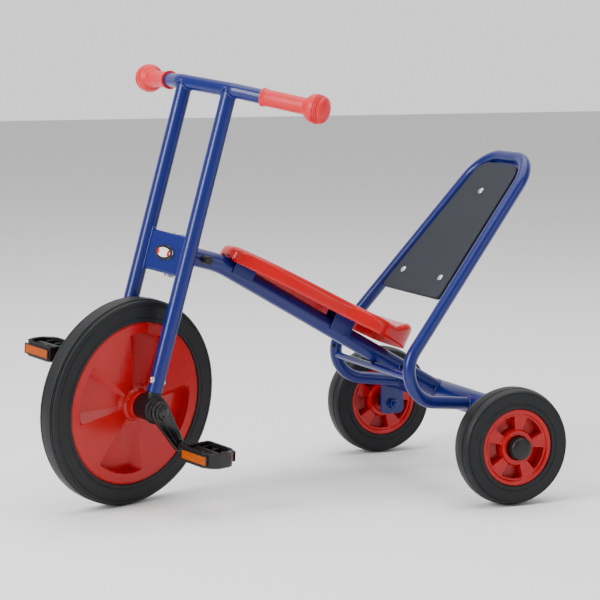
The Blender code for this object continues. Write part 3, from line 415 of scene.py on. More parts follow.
# Backrest hoop: one 22 mm steel tube. Its legs start on the beam, run forward, turn up at the knees and
# lean back to the rounded top. A thin round bar ties the knees together under the main tube.
HOOP_RADIUS, HOOP_TOP, HOOP_CORNER, KNEE_RADIUS = 0.011, 0.409, 0.065, 0.055
HOOP_HALF_WIDTH, HOOP_TAPER = 0.1399, 0.1339
BACKREST_LEAN = math.radians(39.4)
BACKREST_AHEAD, BACKREST_START = 0.1285, 0.150
KNEE_AHEAD, LEG_END_X = 0.1917, 0.130
lean_place = Matrix.Translation(rear_axle + Vector((0, -BACKREST_AHEAD, BACKREST_START)))
lean_place = lean_place @ Matrix.Rotation(-BACKREST_LEAN, 4, "X")


def hoop_half_width(height):
    return HOOP_HALF_WIDTH - HOOP_TAPER * height


knee_height = (BACKREST_AHEAD - KNEE_AHEAD) / math.sin(BACKREST_LEAN)
leg_foot = beam_centre + Vector((LEG_END_X, 0, 0))
knee = lean_place @ Vector((hoop_half_width(knee_height), 0, knee_height))
leg_run = (knee - leg_foot).normalized()
left_half = [leg_foot + leg_run * 0.018, knee,
             lean_place @ Vector((hoop_half_width(HOOP_TOP), 0, HOOP_TOP))]
right_half = [Vector((-p.x, p.y, p.z)) for p in reversed(left_half)]
hoop_path = rounded_path(left_half + right_half, [KNEE_RADIUS, HOOP_CORNER, HOOP_CORNER, KNEE_RADIUS])
add_piece("backrest_hoop", *swept(hoop_path, HOOP_RADIUS, 40), blue_paint, "root", ["backrest_tube"],
          "blue_paint")
for side, sign in SIDES:
    mirror = Vector((sign, 1, 1))
    weld_bead(f"weld_leg_{side}", knee * mirror, -leg_run * mirror, HOOP_RADIUS, beam_centre,
              Vector((1, 0, 0)), 0.021, "root")

low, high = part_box("knee_bar")
bar_centre = (low + high) / 2
KNEE_BAR_RADIUS, BAR_REACH = 0.006, 0.135
ends = [bar_centre + Vector((x, 0, 0)) for x in (-BAR_REACH, BAR_REACH)]
add_piece("knee_bar_round", *swept(ends, KNEE_BAR_RADIUS, 28), blue_paint, "root", ["knee_bar"],
          "blue_paint")
for side, sign in SIDES:
    knee_side = hoop_half_width(-0.05) * sign
    weld_bead(f"weld_knee_{side}", bar_centre, Vector((sign, 0, 0)), KNEE_BAR_RADIUS,
              Vector((knee_side, bar_centre.y, bar_centre.z)), Vector((0, 0.1, 1)), HOOP_RADIUS, "root",
              0.0015)
# A vent hole is drilled in the inner side of each leg, just above its knee. Its dark inside is painted
# shade: a black disc set in the hole.
vent_height = knee_height + 0.068
for side, sign in SIDES:
    at = Vector((hoop_half_width(vent_height) * sign, 0, vent_height))
    inward = Matrix.Diagonal((-sign, 1, 1, 1))
    hole_place = lean_place @ Matrix.Translation(at - Vector((HOOP_RADIUS * sign, 0, 0))) @ inward
    rim = spun(rounded_outline([(0.0044, -0.001), (0.0044, 0.0006), (0.0034, 0.0006), (0.0034, -0.001)],
                               [0.0003] * 4), 24)
    add_piece(f"vent_hole_rim_{side}", *rim, blue_paint, "root", place=hole_place)
    # Painted shade: a black plastic disc fills the hole and stands for the shaded inside of the tube.
    shade_patch = spun([(0, -0.001), (0.0034, -0.001), (0.0034, 0.0003), (0, 0.0003)], 24)
    add_piece(f"vent_hole_shade_patch_{side}", *shade_patch, black_plastic, "root", place=hole_place)


# Backrest pad: a hard moulded panel with a fine leather-like grain, held on a blue sheet by three screws.
# The sheet is welded into the hoop and shows as a narrow strip round the pad.
PAD_THICKNESS, PAD_PROUD, PAD_INSET, PAD_BOTTOM, PAD_CORNER = 0.008, 0.007, 0.019, 0.105, 0.032
pad_plastic = finish(
    "grained_grey_plastic", (30, 34, 42), (38, 42, 50), (0.5, 0.64), scale=120, grain_scale=1100,
    grain_depth=0.55, Specular_IOR_Level=0.25,
)


def hoop_outline(inset, bottom, corner, foot_corner):
    across = inset * math.hypot(1, HOOP_TAPER)
    top = HOOP_TOP - inset
    low_half, high_half = hoop_half_width(bottom) - across, hoop_half_width(top) - across
    corners = [(-low_half, bottom), (low_half, bottom), (high_half, top), (-high_half, top)]
    return rounded_outline(corners, [foot_corner, foot_corner, corner, corner], 14)


def prism(outline, low, high, place=lambda a, b, c: (a, c, b)):
    """Points and faces of an outline of (a, b) extruded from low to high."""
    points = [Vector(place(a, b, c)) for c in (low, high) for a, b in outline]
    count = len(outline)
    faces = [tuple(range(count)), tuple(range(count, 2 * count))]
    faces += [(k, (k + 1) % count, count + (k + 1) % count, count + k) for k in range(count)]
    return points, faces


pad_back = PAD_THICKNESS - PAD_PROUD
outline = hoop_outline(PAD_INSET, PAD_BOTTOM, PAD_CORNER, 0.010)
pad = add_piece("backrest_panel", *prism(outline, -PAD_PROUD, pad_back), pad_plastic, "root",
                ["backrest_pad"], "pad_plastic", lean_place)
soften(pad, 0.0014, 3)
outline = hoop_outline(HOOP_RADIUS - 0.001, PAD_BOTTOM + 0.005, HOOP_CORNER - HOOP_RADIUS, 0.006)
sheet = add_piece("backrest_sheet", *prism(outline, pad_back + 0.0003, pad_back + 0.0028), blue_paint,
                  "root", ["backrest_support_plate"], "blue_paint", lean_place)
soften(sheet, 0.0006)
chrome = finish("polished_chrome", (225, 226, 230), (205, 206, 212), (0.06, 0.16), scale=200,
                grain_depth=0.02, Metallic=1.0)
PAD_SCREWS = ((-0.0693, 0.1441), (0.0693, 0.1441), (0.0, 0.3277))
for number, (x, height) in enumerate(PAD_SCREWS, 1):
    face = PAD_PROUD
    profile = [(0, face - 0.002), (0.0062, face - 0.002), (0.0062, face + 0.0004), (0.0058, face + 0.0013)]
    profile += [(0.0046, face + 0.0022), (0.0030, face + 0.0026), (0.0016, face + 0.0026),
                (0.0012, face + 0.0012)]
    profile += [(0, face + 0.0010)]
    upright = lean_place @ Matrix.Translation((x, 0, height)) @ Matrix.Rotation(math.radians(90), 4, "X")
    add_piece(f"pad_screw_head_{number}", *spun(profile, 32, "Z"), chrome, "root", [f"pad_screw_{number}"],
              "chrome", upright)
    nut = spun([(0, -pad_back - 0.0028), (0.0058, -pad_back - 0.0028), (0.0058, -pad_back - 0.0065),
                (0.003, -pad_back - 0.0072), (0, -pad_back - 0.0072)], 6, "Z")
    soften(add_piece(f"weld_nut_{number}", *nut, blue_paint, "root", place=upright), 0.0004)


# Seat: a glossy red moulded shell, hollow underneath, with a deep skirt. Its nose is narrow and round, its
# back flares after a crease and ends in a raised lip. Two steel brackets under it straddle the main tube.
SEAT_AHEAD_OF_BEND, SEAT_ABOVE_TUBE, SEAT_TILT = 0.0242, 0.0183, math.radians(2.5)
SEAT_LENGTH, SEAT_FRONT, SEAT_WALL, SEAT_SKIRT, SEAT_LIP = 0.366, 0.024, 0.003, 0.0275, 0.015
NOSE_HALF, BACK_HALF, NOSE_ARCH = 0.067, 0.101, 0.0080
tube_normal = Vector((0, -tube_run.z, tube_run.y))
seat_origin = neck_end - tube_run * SEAT_AHEAD_OF_BEND + tube_normal * (MAIN_TUBE_RADIUS + SEAT_ABOVE_TUBE)
seat_slope = math.atan2(-tube_run.z, tube_run.y) - SEAT_TILT
seat_place = Matrix.Translation(seat_origin) @ Matrix.Rotation(-seat_slope, 4, "X")
red_gloss = finish(
    "glossy_red_moulding", (196, 1, 12), (182, 1, 9), (0.16, 0.26), scale=18, grain_scale=500,
    grain_depth=0.04, Specular_IOR_Level=0.3, Coat_Weight=0.1, Coat_Roughness=0.06,
)


def ease(value, low, high):
    share = min(max((value - low) / (high - low), 0), 1)
    return share * share * (3 - 2 * share)


def seat_half_width(share):
    flare = ease(share, 0.58, 0.80)
    return NOSE_HALF + 0.010 * share + (BACK_HALF - NOSE_HALF - 0.010) * flare


def seat_outline(steps):
    outline = []
    for k in range(steps):
        angle = (k + 0.5) * 2 * math.pi / steps
        share = (1 - math.cos(angle)) / 2
        squareness = 0.62 - 0.12 * share
        x = seat_half_width(share) * math.copysign(abs(math.sin(angle)) ** squareness, math.sin(angle))
        outline.append(Vector((x, SEAT_FRONT + SEAT_LENGTH * share)))
    return outline


def inset_outline(outline, distance):
    moved = []
    for k, point in enumerate(outline):
        run = (outline[(k + 1) % len(outline)] - outline[k - 1]).normalized()
        moved.append(point + Vector((-run.y, run.x)) * distance)
    return moved


def seat_top(x, y):
    """The sitting surface: slightly dished, with a raised lip at the back."""
    dish = 0.0012 * min((x / 0.06) ** 2, 1) - 0.0012
    return 0.003 + dish + SEAT_LIP * ease((y - SEAT_FRONT) / SEAT_LENGTH, 0.86, 0.95)


def seat_foot(p):
    """The skirt's lower edge: level, with an arch over the main tube at the nose."""
    beside_tube = ease(abs(p.x), MAIN_TUBE_RADIUS, MAIN_TUBE_RADIUS + 0.018)
    behind_nose = ease((p.y - SEAT_FRONT) / SEAT_LENGTH, 0.05, 0.25)
    return 0.003 - SEAT_SKIRT + NOSE_ARCH * (1 - beside_tube) * (1 - behind_nose)


outline = seat_outline(144)
ROUNDING, MIDDLE = 0.011, SEAT_FRONT + SEAT_LENGTH / 2
rings = []
for share in (0.25, 0.5, 0.75):
    ring = inset_outline(outline, 0.045)
    inner_ring = [(p.x * share, MIDDLE + (p.y - MIDDLE) * share) for p in ring]
    rings.append([Vector((x, y, seat_top(x, y))) for x, y in inner_ring])
for inset in (0.045, 0.032, 0.022, 0.0155, ROUNDING):
    rings.append([Vector((p.x, p.y, seat_top(p.x, p.y))) for p in inset_outline(outline, inset)])
for k in range(1, 9):
    turn = k * math.pi / 16
    inset, drop = ROUNDING * (1 - math.sin(turn)), ROUNDING * (1 - math.cos(turn))
    rings.append([Vector((p.x, p.y, seat_top(p.x, p.y) - drop)) for p in inset_outline(outline, inset)])
for inset, height in ((-0.0003, 0.006), (-0.0006, 0.0010), (0.0002, 0), (SEAT_WALL - 0.0006, 0),
                      (SEAT_WALL, 0.0010)):
    rings.append([Vector((p.x, p.y, seat_foot(p) + height)) for p in inset_outline(outline, inset)])
for inset, drop in ((SEAT_WALL + 0.001, 0.012), (0.014, SEAT_WALL), (0.032, SEAT_WALL), (0.045, SEAT_WALL)):
    rings.append([Vector((p.x, p.y, seat_top(p.x, p.y) - drop)) for p in inset_outline(outline, inset)])
points = [Vector((0, MIDDLE, seat_top(0, MIDDLE)))] + [p for ring in rings for p in ring]
points.append(Vector((0, MIDDLE, seat_top(0, MIDDLE) - SEAT_WALL)))
count, last = len(outline), len(points) - 1
faces = []
for k in range(count):
    after = (k + 1) % count
    faces += [(0, 1 + k, 1 + after), (last, last - count + after, last - count + k)]
    for ring in range(len(rings) - 1):
        low = 1 + ring * count
        faces.append((low + k, low + after, low + count + after, low + count + k))
add_piece("seat_shell", points, faces, red_gloss, "root", ["seat"], "red_plastic", seat_place,
          sharp=math.radians(50))
for node in ("seat_bracket_front", "seat_bracket_rear"):
    refined(node, blue_paint, 0.0006, "blue_paint")
zinc = finish("bright_zinc", (190, 191, 196), (168, 170, 176), (0.22, 0.36), scale=160, grain_depth=0.06,
              Metallic=1.0)
for number in range(1, 5):
    refined(f"seat_screw_{number}", zinc, 0.0004, "zinc_steel")
BOSS_RADIUS, BOSS_LENGTH, SCREW_X, BRACKET_PLACES = 0.006, 0.012, 0.027, (0.0640, 0.2742)
for number, (x, y) in enumerate(((a, b) for b in BRACKET_PLACES for a in (SCREW_X, -SCREW_X)), 1):
    profile = rounded_outline([(0.0024, -BOSS_LENGTH), (BOSS_RADIUS, -BOSS_LENGTH),
                               (BOSS_RADIUS + 0.001, 0.0012), (0.0024, 0.0012)], [0.0003, 0.0008, 0, 0])
    boss_place = seat_place @ Matrix.Translation((x, y, 0))
    add_piece(f"seat_boss_{number}", *spun(profile, 24, "Z"), red_gloss, "root", slot_name="red_plastic",
              place=boss_place)


# Steering stops: moulded rubber buffers, one on each side of the neck, that cushion the fork if it is
# turned too far.
black_rubber = finish("black_buffer_rubber", (22, 22, 24), (30, 30, 32), (0.6, 0.75), scale=80,
                      grain_scale=1500, grain_depth=0.3)
BUFFER_RADIUS, BUFFER_FOOT, BUFFER_REACH, BUFFER_BEHIND_HEAD = 0.0074, 0.012, 0.037, 0.049
profile = rounded_outline([(0, BUFFER_FOOT), (BUFFER_RADIUS, BUFFER_FOOT), (BUFFER_RADIUS, BUFFER_REACH),
                           (0, BUFFER_REACH)], [0, 0, 0.0022, 0], 5)
for side, sign in SIDES:
    stop_place = head_place @ Matrix.Translation((0, BUFFER_BEHIND_HEAD, NECK_HEIGHT))
    stop_place = stop_place @ Matrix.Diagonal((sign, 1, 1, 1))
    add_piece(f"buffer_rubber_{side}", *spun(profile, 40), black_rubber, "root",
              [f"steering_buffer_{side}"], "black_rubber", stop_place)


# Handlebar and grips: a 24.5 mm tube bent back on both sides, with soft red grips pushed on. Each grip has
# a flared inner lip, and ends in a big dome behind three ribs that keeps the hand from slipping off.
FORK_OFFSET, HANDLEBAR_HEIGHT, HANDLEBAR_RADIUS = 0.020, 0.541, 0.01225
HANDLEBAR_STRAIGHT, HANDLEBAR_SWEEP, HANDLEBAR_ARM, BAR_BEND = 0.065, math.radians(21.3), 0.156, 0.035
GRIP_LENGTH, GRIP_RADIUS, DOME_RADIUS = 0.1035, 0.014, 0.0245
grip_rubber = finish(
    "soft_red_grip", (216, 26, 40), (206, 20, 34), (0.34, 0.46), scale=40, grain_scale=900,
    grain_depth=0.12, Specular_IOR_Level=0.35,
)
bend = Vector((HANDLEBAR_STRAIGHT, -FORK_OFFSET, HANDLEBAR_HEIGHT))
arm = Vector((math.cos(HANDLEBAR_SWEEP), math.sin(HANDLEBAR_SWEEP), 0))
half_bar = [bend + arm * HANDLEBAR_ARM, bend]
bar_path = rounded_path(half_bar + [Vector((-p.x, p.y, p.z)) for p in reversed(half_bar)],
                        [BAR_BEND, BAR_BEND])
add_piece("handlebar_tube", *swept(bar_path, HANDLEBAR_RADIUS, 40), blue_paint, "steering", ["handlebar"],
          "blue_paint", steering_place)
NECK_RADIUS = GRIP_RADIUS + 0.0005
dome = GRIP_LENGTH + 0.001
grip = [(HANDLEBAR_RADIUS + 0.0003, 0), (GRIP_RADIUS + 0.0018, 0), (GRIP_RADIUS + 0.0021, 0.0014)]
grip += [(GRIP_RADIUS + 0.0014, 0.0034), (GRIP_RADIUS + 0.0004, 0.0065), (GRIP_RADIUS, 0.011)]
grip += [(GRIP_RADIUS, dome - 0.030), (GRIP_RADIUS + 0.0006, dome - 0.0265),
         (GRIP_RADIUS + 0.0022, dome - 0.0235)]
for k in range(7):
    turn = math.radians(20 + 10 * k)
    swell = NECK_RADIUS + (DOME_RADIUS - NECK_RADIUS) * math.sin(turn)
    grip.append((swell, dome - 0.0065 - 0.0165 * math.cos(turn)))
for rib in range(3):
    at = dome - 0.0062 + rib * 0.0036
    radius = DOME_RADIUS - 0.0002 - rib * rib * 0.0003
    grip += [(radius, at), (radius - 0.0016, at + 0.0007), (radius - 0.0016, at + 0.0014),
             (radius - 0.0002, at + 0.0021), (radius - 0.0003, at + 0.0028)]
for k in range(13):
    turn = k * math.pi / 24
    grip.append(((DOME_RADIUS - 0.0022) * math.cos(turn), dome + 0.0040 + 0.0105 * math.sin(turn)))
grip[-1] = (0, grip[-1][1])
grip = [(0, GRIP_LENGTH + 0.001), (HANDLEBAR_RADIUS + 0.0003, GRIP_LENGTH + 0.001)] + grip
for side, sign in SIDES:
    aim = Vector((arm.x * sign, arm.y, 0))
    turn = aim.to_track_quat("Z", "Y").to_matrix().to_4x4()
    start = Vector((bend.x * sign, bend.y, bend.z)) + aim * (HANDLEBAR_ARM - GRIP_LENGTH)
    add_piece(f"grip_domed_{side}", *spun(grip, 64, "Z"), grip_rubber, "steering", [f"grip_{side}"],
              "grip_rubber", steering_place @ Matrix.Translation(start) @ turn, sharp=math.radians(55))


# Fork: two straight 26 mm tubes, welded to the handlebar on top and joined lower down by a pressed steel
# yoke that wraps the head tube. A bolt through each tube's foot holds the bearing housing's spigot.
FORK_RADIUS, FORK_HALF, FORK_START = 0.013, 0.0547, 0.027
BOLT_RISE, BOLT_HEAD = 0.020, 0.0052
for side, sign in SIDES:
    foot = Vector((FORK_HALF * sign, -FORK_OFFSET, FORK_START))
    top = Vector((FORK_HALF * sign, -FORK_OFFSET, HANDLEBAR_HEIGHT - 0.004))
    steps = [foot + (top - foot) * k / 6 for k in range(7)]
    tube = add_piece(f"fork_leg_{side}", *swept(steps, FORK_RADIUS, 40), blue_paint, "steering",
                     [f"fork_tube_{side}"], "blue_paint", steering_place)
    soften(tube, 0.0006)
    turn = steering_place.to_3x3()
    weld_bead(f"weld_fork_{side}", steering_place @ foot, turn @ Vector((0, 0, 1)), FORK_RADIUS,
              steering_place @ Vector((0, -FORK_OFFSET, HANDLEBAR_HEIGHT)), turn @ Vector((1, 0, 0)),
              HANDLEBAR_RADIUS, "steering", 0.0026)
    bolt = foot + Vector((0, 0, BOLT_RISE))
    across = steering_place @ Matrix.Translation(bolt) @ Matrix.Rotation(math.pi / 2, 4, "X")
    for end, facing in (("head", 1), ("nut", -1)):
        profile = [(0, FORK_RADIUS - 0.003), (0.0064, FORK_RADIUS - 0.003), (0.0064, FORK_RADIUS + 0.0002)]
        profile += [(BOLT_HEAD, FORK_RADIUS + 0.0002), (BOLT_HEAD, FORK_RADIUS + 0.0030),
                    (0.0040, FORK_RADIUS + 0.0040)]
        profile += [(0, FORK_RADIUS + 0.0042)]
        shape = spun([(r, a * facing) for r, a in profile], 6 if end == "nut" else 24, "Z")
        soften(add_piece(f"fork_bolt_{end}_{side}", *shape, chrome, "steering", slot_name="zinc_steel",
                         place=across), 0.0004)
refined("fork_yoke", blue_paint, 0.0012, "blue_paint", 3)
yoke_low = HEAD_CENTRE - HEAD_LENGTH / 2 - 0.0056
yoke_high = HEAD_CENTRE + HEAD_LENGTH / 2 + 0.0056
SEAM_FRONT, SEAM_REAR = -0.0222, -0.0190
for side, sign in SIDES:
    for end, y in (("front", SEAM_FRONT), ("rear", SEAM_REAR)):
        x = (FORK_HALF - 0.0132) * sign
        seam = [Vector((x + 0.0035 * sign, y, yoke_low - 0.0045)), Vector((x, y, yoke_low + 0.001))]
        seam += [seam[1].lerp(Vector((x, y, yoke_high - 0.001)), k / 12) for k in range(1, 13)]
        seam.append(Vector((x + 0.0035 * sign, y, yoke_high + 0.0045)))
        add_piece(f"weld_yoke_{side}_{end}", *swept(seam, lambda k: 0.0024 + 0.0003 * (k % 2), 12),
                  blue_paint, "steering", place=steering_place, sharp=math.pi)
refined("kingpin", zinc, 0.0005, "zinc_steel")
refined("kingpin_nut", zinc, 0.0005, "zinc_steel")


# Badge: a plain oval domed emblem in moulded plastic, glued to the yoke. It has a black rim, a white face
# and two small red marks.
BADGE_AHEAD = 0.0228
badge_place = steering_place @ Matrix.Translation((0, -BADGE_AHEAD, HEAD_CENTRE))
badge_place = badge_place @ Matrix.Rotation(math.pi / 2, 4, "X")
badge_black = finish("badge_black", (14, 14, 16), (20, 20, 22), (0.12, 0.2), Coat_Weight=0.6)
badge_white = finish("badge_white", (238, 238, 240), (228, 228, 230), (0.12, 0.2), Coat_Weight=0.6)


def oval(wide, tall, low, high, steps=56):
    """A low oval dome."""
    rings = [(1.0, low), (1.0, high - 0.0006), (0.97, high - 0.0002), (0.90, high), (0.5, high + 0.0003)]
    points = [Vector((wide * s * math.cos(t), tall * s * math.sin(t), z)) for s, z in rings
              for t in (k * 2 * math.pi / steps for k in range(steps))]
    faces = [tuple(range(steps))] + [tuple(range(len(points) - steps, len(points)))]
    for ring in range(len(rings) - 1):
        low_ring = ring * steps
        for k in range(steps):
            m = (k + 1) % steps
            faces.append((low_ring + k, low_ring + m, low_ring + steps + m, low_ring + steps + k))
    return points, faces


add_piece("badge_rim", *oval(0.023, 0.0127, 0, 0.0022), badge_black, "steering", ["badge"], "badge_white",
          badge_place)
add_piece("badge_face", *oval(0.0165, 0.0082, 0.0020, 0.0028), badge_white, "steering",
          slot_name="badge_white", place=badge_place)
for side, sign in SIDES:
    mark = badge_place @ Matrix.Translation((0.0125 * sign, 0, 0.0006))
    add_piece(f"badge_mark_{side}", *oval(0.0032, 0.0052, 0.0020, 0.0028), red_gloss, "steering",
              slot_name="badge_white", place=mark)


# Bearing housings: black moulded blocks at the fork's feet. Each is a barrel around the axle with a collar
# at its outer end, and its stub goes up into the fork tube.
for side, sign in SIDES:
    corners = [(0.0066, 0.0362), (0.0205, 0.0362), (0.0205, 0.0640), (0.0232, 0.0655), (0.0232, 0.0705),
               (0.0190, 0.0712), (0.0165, 0.0728), (0.0165, 0.0750), (0.0066, 0.0750)]
    profile = rounded_outline(corners, [0.0004, 0.0018, 0.0012, 0.0008, 0.0010, 0.0008, 0.0006, 0.0006,
                                        0.0003], 4)
    place = front_wheel_place @ Matrix.Diagonal((sign, 1, 1, 1))
    add_piece(f"bearing_barrel_{side}", *spun(profile, 72), black_plastic, "steering",
              [f"bearing_housing_{side}"], "black_plastic", place)
    stub = rounded_outline([(0, 0.012), (0.0128, 0.012), (0.0142, 0.0235), (0.0142, 0.0267),
                            (0.011, 0.0267),
                            (0.011, 0.045), (0, 0.045)], [0, 0, 0.001, 0.0008, 0, 0, 0], 4)
    stub_place = steering_place @ Matrix.Translation((FORK_HALF * sign, -FORK_OFFSET, 0))
    add_piece(f"bearing_stub_{side}", *spun(stub, 48, "Z"), black_plastic, "steering",
              slot_name="black_plastic", place=stub_place)


# Front tyre: a solid rubber ring with flat sides, a crowned tread and two fine grooves along each edge.
# It is stretched over the wheel disc and stays there by its own grip.
tyre_rubber = finish(
    "solid_tyre_rubber", (11, 12, 15), (17, 19, 22), (0.40, 0.58), scale=26, grain_scale=420,
    grain_depth=0.10, dusty=0.03, Specular_IOR_Level=0.3,
)


def tyre_profile(radius, crown, half, rim, grooves, lines):
    """Half of the section runs from the middle of the tread down one side; the other half mirrors it."""
    side = [(radius, 0), (radius - 0.0001, crown * 0.45)]
    for share in grooves:
        at = crown * share
        fall = 0.0003 + 0.0010 * share
        side += [(radius - fall * 0.6, at - 0.0007), (radius - fall - 0.0014, at - 0.0003),
                 (radius - fall - 0.0014, at + 0.0003), (radius - fall * 1.1, at + 0.0007)]
    shoulder = half - crown
    for k in range(1, 7):
        turn = k * math.pi / 14
        side.append((radius - 0.0022 - 0.0085 * (1 - math.cos(turn)),
                     crown + shoulder * 0.93 * math.sin(turn)))
    for at in lines:
        side += [(at + 0.0012, half - 0.0001), (at + 0.0005, half - 0.0009), (at - 0.0005, half - 0.0009),
                 (at - 0.0012, half)]
    side += [(rim + 0.0050, half), (rim + 0.0030, half + 0.0003), (rim + 0.0012, half),
             (rim + 0.0002, half - 0.0022)]
    return [(r, -x) for r, x in reversed(side[1:])] + side


FRONT_RADIUS, FRONT_CROWN, FRONT_HALF, FRONT_RIM = 0.176, 0.0156, 0.0207, 0.138
profile = tyre_profile(FRONT_RADIUS, FRONT_CROWN, FRONT_HALF, FRONT_RIM, (0.70, 0.92), (0.1655, 0.1455))
add_piece("front_tyre_ring", *spun(profile, 192), tyre_rubber, "front_wheel", ["front_tyre"], "tyre_rubber",
          front_wheel_place, sharp=math.radians(45))


# Front wheel disc: moulded in one piece in glossy red plastic. Each face has four broad raised blades,
# with sunken pockets between them whose walls slope, and a plain outer band.
red_rim = finish(
    "red_wheel_moulding", (176, 2, 8), (162, 1, 6), (0.20, 0.32), scale=16, grain_scale=500,
    grain_depth=0.05, Specular_IOR_Level=0.3, Coat_Weight=0.1, Coat_Roughness=0.08,
)


def wheel_disc(name, rings, steps, pockets, phase, half_angle, wall, node, body, place):
    """rings hold (radius, face, depth): depth is how far the pockets are sunk there."""
    points, loops = [], []
    for face_side in (1, -1):
        for radius, face, depth in rings:
            row = []
            for k in range(steps):
                angle = k * 2 * math.pi / steps
                away = abs((math.degrees(angle) * pockets / 360 + 0.5) % 1 - 0.5) * 360 / pockets
                sunk = min(max((half_angle - away) / wall, 0), 1)
                height = face - depth * sunk
                row.append(len(points))
                points.append(Vector((height * face_side, radius * math.cos(angle + phase),
                                      radius * math.sin(angle + phase))))
            loops.append(row)
    count = len(rings)
    loops = loops[:count] + loops[count:][::-1]
    faces = []
    for low, high in zip(loops, loops[1:] + loops[:1]):
        for k in range(steps):
            m = (k + 1) % steps
            faces.append((low[k], low[m], high[m], high[k]))
    piece = add_piece(name, points, faces, red_rim, body, [node], "red_plastic", place,
                      sharp=math.radians(20))
    return soften(piece, 0.0007, 2, 22)


HUB_HALF, DISC_HALF = 0.0345, 0.019
rings = [(0.0064, HUB_HALF, 0), (0.0215, HUB_HALF, 0), (0.0225, HUB_HALF - 0.001, 0),
         (0.0240, DISC_HALF + 0.004, 0)]
rings += [(0.0275, DISC_HALF, 0), (0.0300, DISC_HALF, 0.0)]
POCKET_START, POCKET_END, POCKET_SHALLOW, POCKET_DEEP = 0.036, 0.1145, 0.0035, 0.0170
for k in range(9):
    share = k / 8
    depth = POCKET_SHALLOW + (POCKET_DEEP - POCKET_SHALLOW) * share
    rings.append((POCKET_START + (POCKET_END - POCKET_START) * share, DISC_HALF, depth))
rings += [(0.1195, DISC_HALF, 0.0), (0.1350, DISC_HALF, 0), (0.1358, DISC_HALF - 0.0010, 0)]
rings += [(0.1366, DISC_HALF - 0.0010, 0), (0.1374, DISC_HALF, 0), (0.1381, DISC_HALF - 0.0008, 0)]
wheel_disc("front_wheel_disc", rings, 180, 4, math.radians(1), 24, 8, "front_rim", "front_wheel",
           front_wheel_place)
refined("front_axle", zinc, 0.0006, "zinc_steel")


# Cranks: flat steel arms, forged and coated glossy black, fixed to the axle so that the wheel is driven
# directly. Each has a wide boss with a cap screw, and carries the pedal's spindle.
black_coat = finish("glossy_black_coat", (8, 8, 9), (13, 13, 14), (0.14, 0.26), scale=40, grain_depth=0.05,
                    Specular_IOR_Level=0.45)
CRANK_LENGTH, CRANK_ANGLE, CRANK_LOW, CRANK_THICK = 0.078, math.radians(39), 0.0755, 0.009
BOSS, END = 0.0185, 0.0108


def arc(centre, radius, start, end, steps):
    turns = [start + (end - start) * k / steps for k in range(steps + 1)]
    return [(centre[0] + radius * math.cos(t), centre[1] + radius * math.sin(t)) for t in turns]


slant = math.asin((BOSS - END) / CRANK_LENGTH)
quarter = math.pi / 2
arm_outline = arc((0, 0), BOSS, quarter - slant, 3 * quarter + slant, 24)
arm_outline += arc((CRANK_LENGTH, 0), END, -quarter + slant, quarter - slant, 18)


def side_on(a, b, c):
    """Places an outline of (along, up) and extrudes it along the axle."""
    return (c, a, b)


RIB_HALF, RIB_END_HALF = 0.0075, 0.0055
rib_outline = arc((0.016, 0), RIB_HALF, quarter, 3 * quarter, 10)
rib_outline += arc((CRANK_LENGTH - 0.010, 0), RIB_END_HALF, -quarter, quarter, 10)
for side, sign in SIDES:
    spin = Matrix.Rotation(-CRANK_ANGLE + (0 if sign > 0 else math.pi), 4, "X")
    crank_place = front_wheel_place @ Matrix.Diagonal((sign, 1, 1, 1)) @ spin
    shape = prism(arm_outline, CRANK_LOW, CRANK_LOW + CRANK_THICK * 0.82, side_on)
    crank = add_piece(f"crank_arm_{side}", *shape, black_coat,
                      "front_wheel", [f"crank_{side}"], "black_paint", crank_place)
    soften(crank, 0.0022, 4)
    shape = prism(rib_outline, CRANK_LOW + 0.004, CRANK_LOW + CRANK_THICK, side_on)
    rib = add_piece(f"crank_rib_{side}", *shape, black_coat,
                    "front_wheel", slot_name="black_paint", place=crank_place)
    soften(rib, 0.0012, 3)
    end_place = crank_place @ Matrix.Translation((0, CRANK_LENGTH, 0))
    spindle = rounded_outline([(0, 0.0790), (0.0085, 0.0790), (0.0085, 0.0905), (0.0058, 0.0915),
                               (0.0049, 0.1860), (0, 0.1860)],
                              [0, 0, 0.001, 0, 0.001, 0], 4)
    add_piece(f"pedal_spindle_{side}", *spun(spindle, 32), black_coat, "front_wheel",
              slot_name="black_paint", place=end_place)
    boss = rounded_outline([(0, 0.0800), (0.0135, 0.0800), (0.0135, 0.0858), (0.0105, 0.0866), (0, 0.0866)],
                           [0, 0, 0.0015, 0.0005, 0], 4)
    add_piece(f"crank_boss_{side}", *spun(boss, 48), black_coat, "front_wheel", slot_name="black_paint",
              place=crank_place)
    cap = rounded_outline([(0, 0.0850), (0.0098, 0.0850), (0.0098, 0.0885), (0.0072, 0.0905),
                           (0.0, 0.0912)],
                          [0, 0, 0.0012, 0.0010, 0], 4)
    add_piece(f"crank_cap_screw_{side}", *spun(cap, 40), black_coat, "front_wheel", [f"crank_cap_{side}"],
              "zinc_steel", crank_place)


# Pedals: each is a black moulded cage around a barrel that turns on the spindle. Its long walls have
# toothed treads above and below, its outer end is round and slotted, and amber reflectors are clipped on.
PEDAL_INNER, PEDAL_LENGTH, PEDAL_HALF_DEPTH, PEDAL_HALF_HEIGHT = 0.118, 0.074, 0.0308, 0.0130
PEDAL_TILT = math.radians(15)
CAGE_WALL, TOOTH_PITCH, TOOTH = 0.0062, 0.0042, 0.0016
amber = finish(
    "amber_reflector", (176, 84, 2), (134, 46, 1), (0.22, 0.30), scale=220, grain_scale=260,
    grain_depth=0.35, Specular_IOR_Level=0.15,
)


def cage_ring():
    """The cage seen from above: a rounded loop, square at the crank and round at the outer end."""
    inner_end, outer_end = PEDAL_INNER, PEDAL_INNER + PEDAL_LENGTH
    corners = [(inner_end, -PEDAL_HALF_DEPTH), (outer_end, -PEDAL_HALF_DEPTH),
               (outer_end, PEDAL_HALF_DEPTH), (inner_end, PEDAL_HALF_DEPTH)]
    return rounded_outline(corners, [0.005, 0.024, 0.024, 0.005], 12)


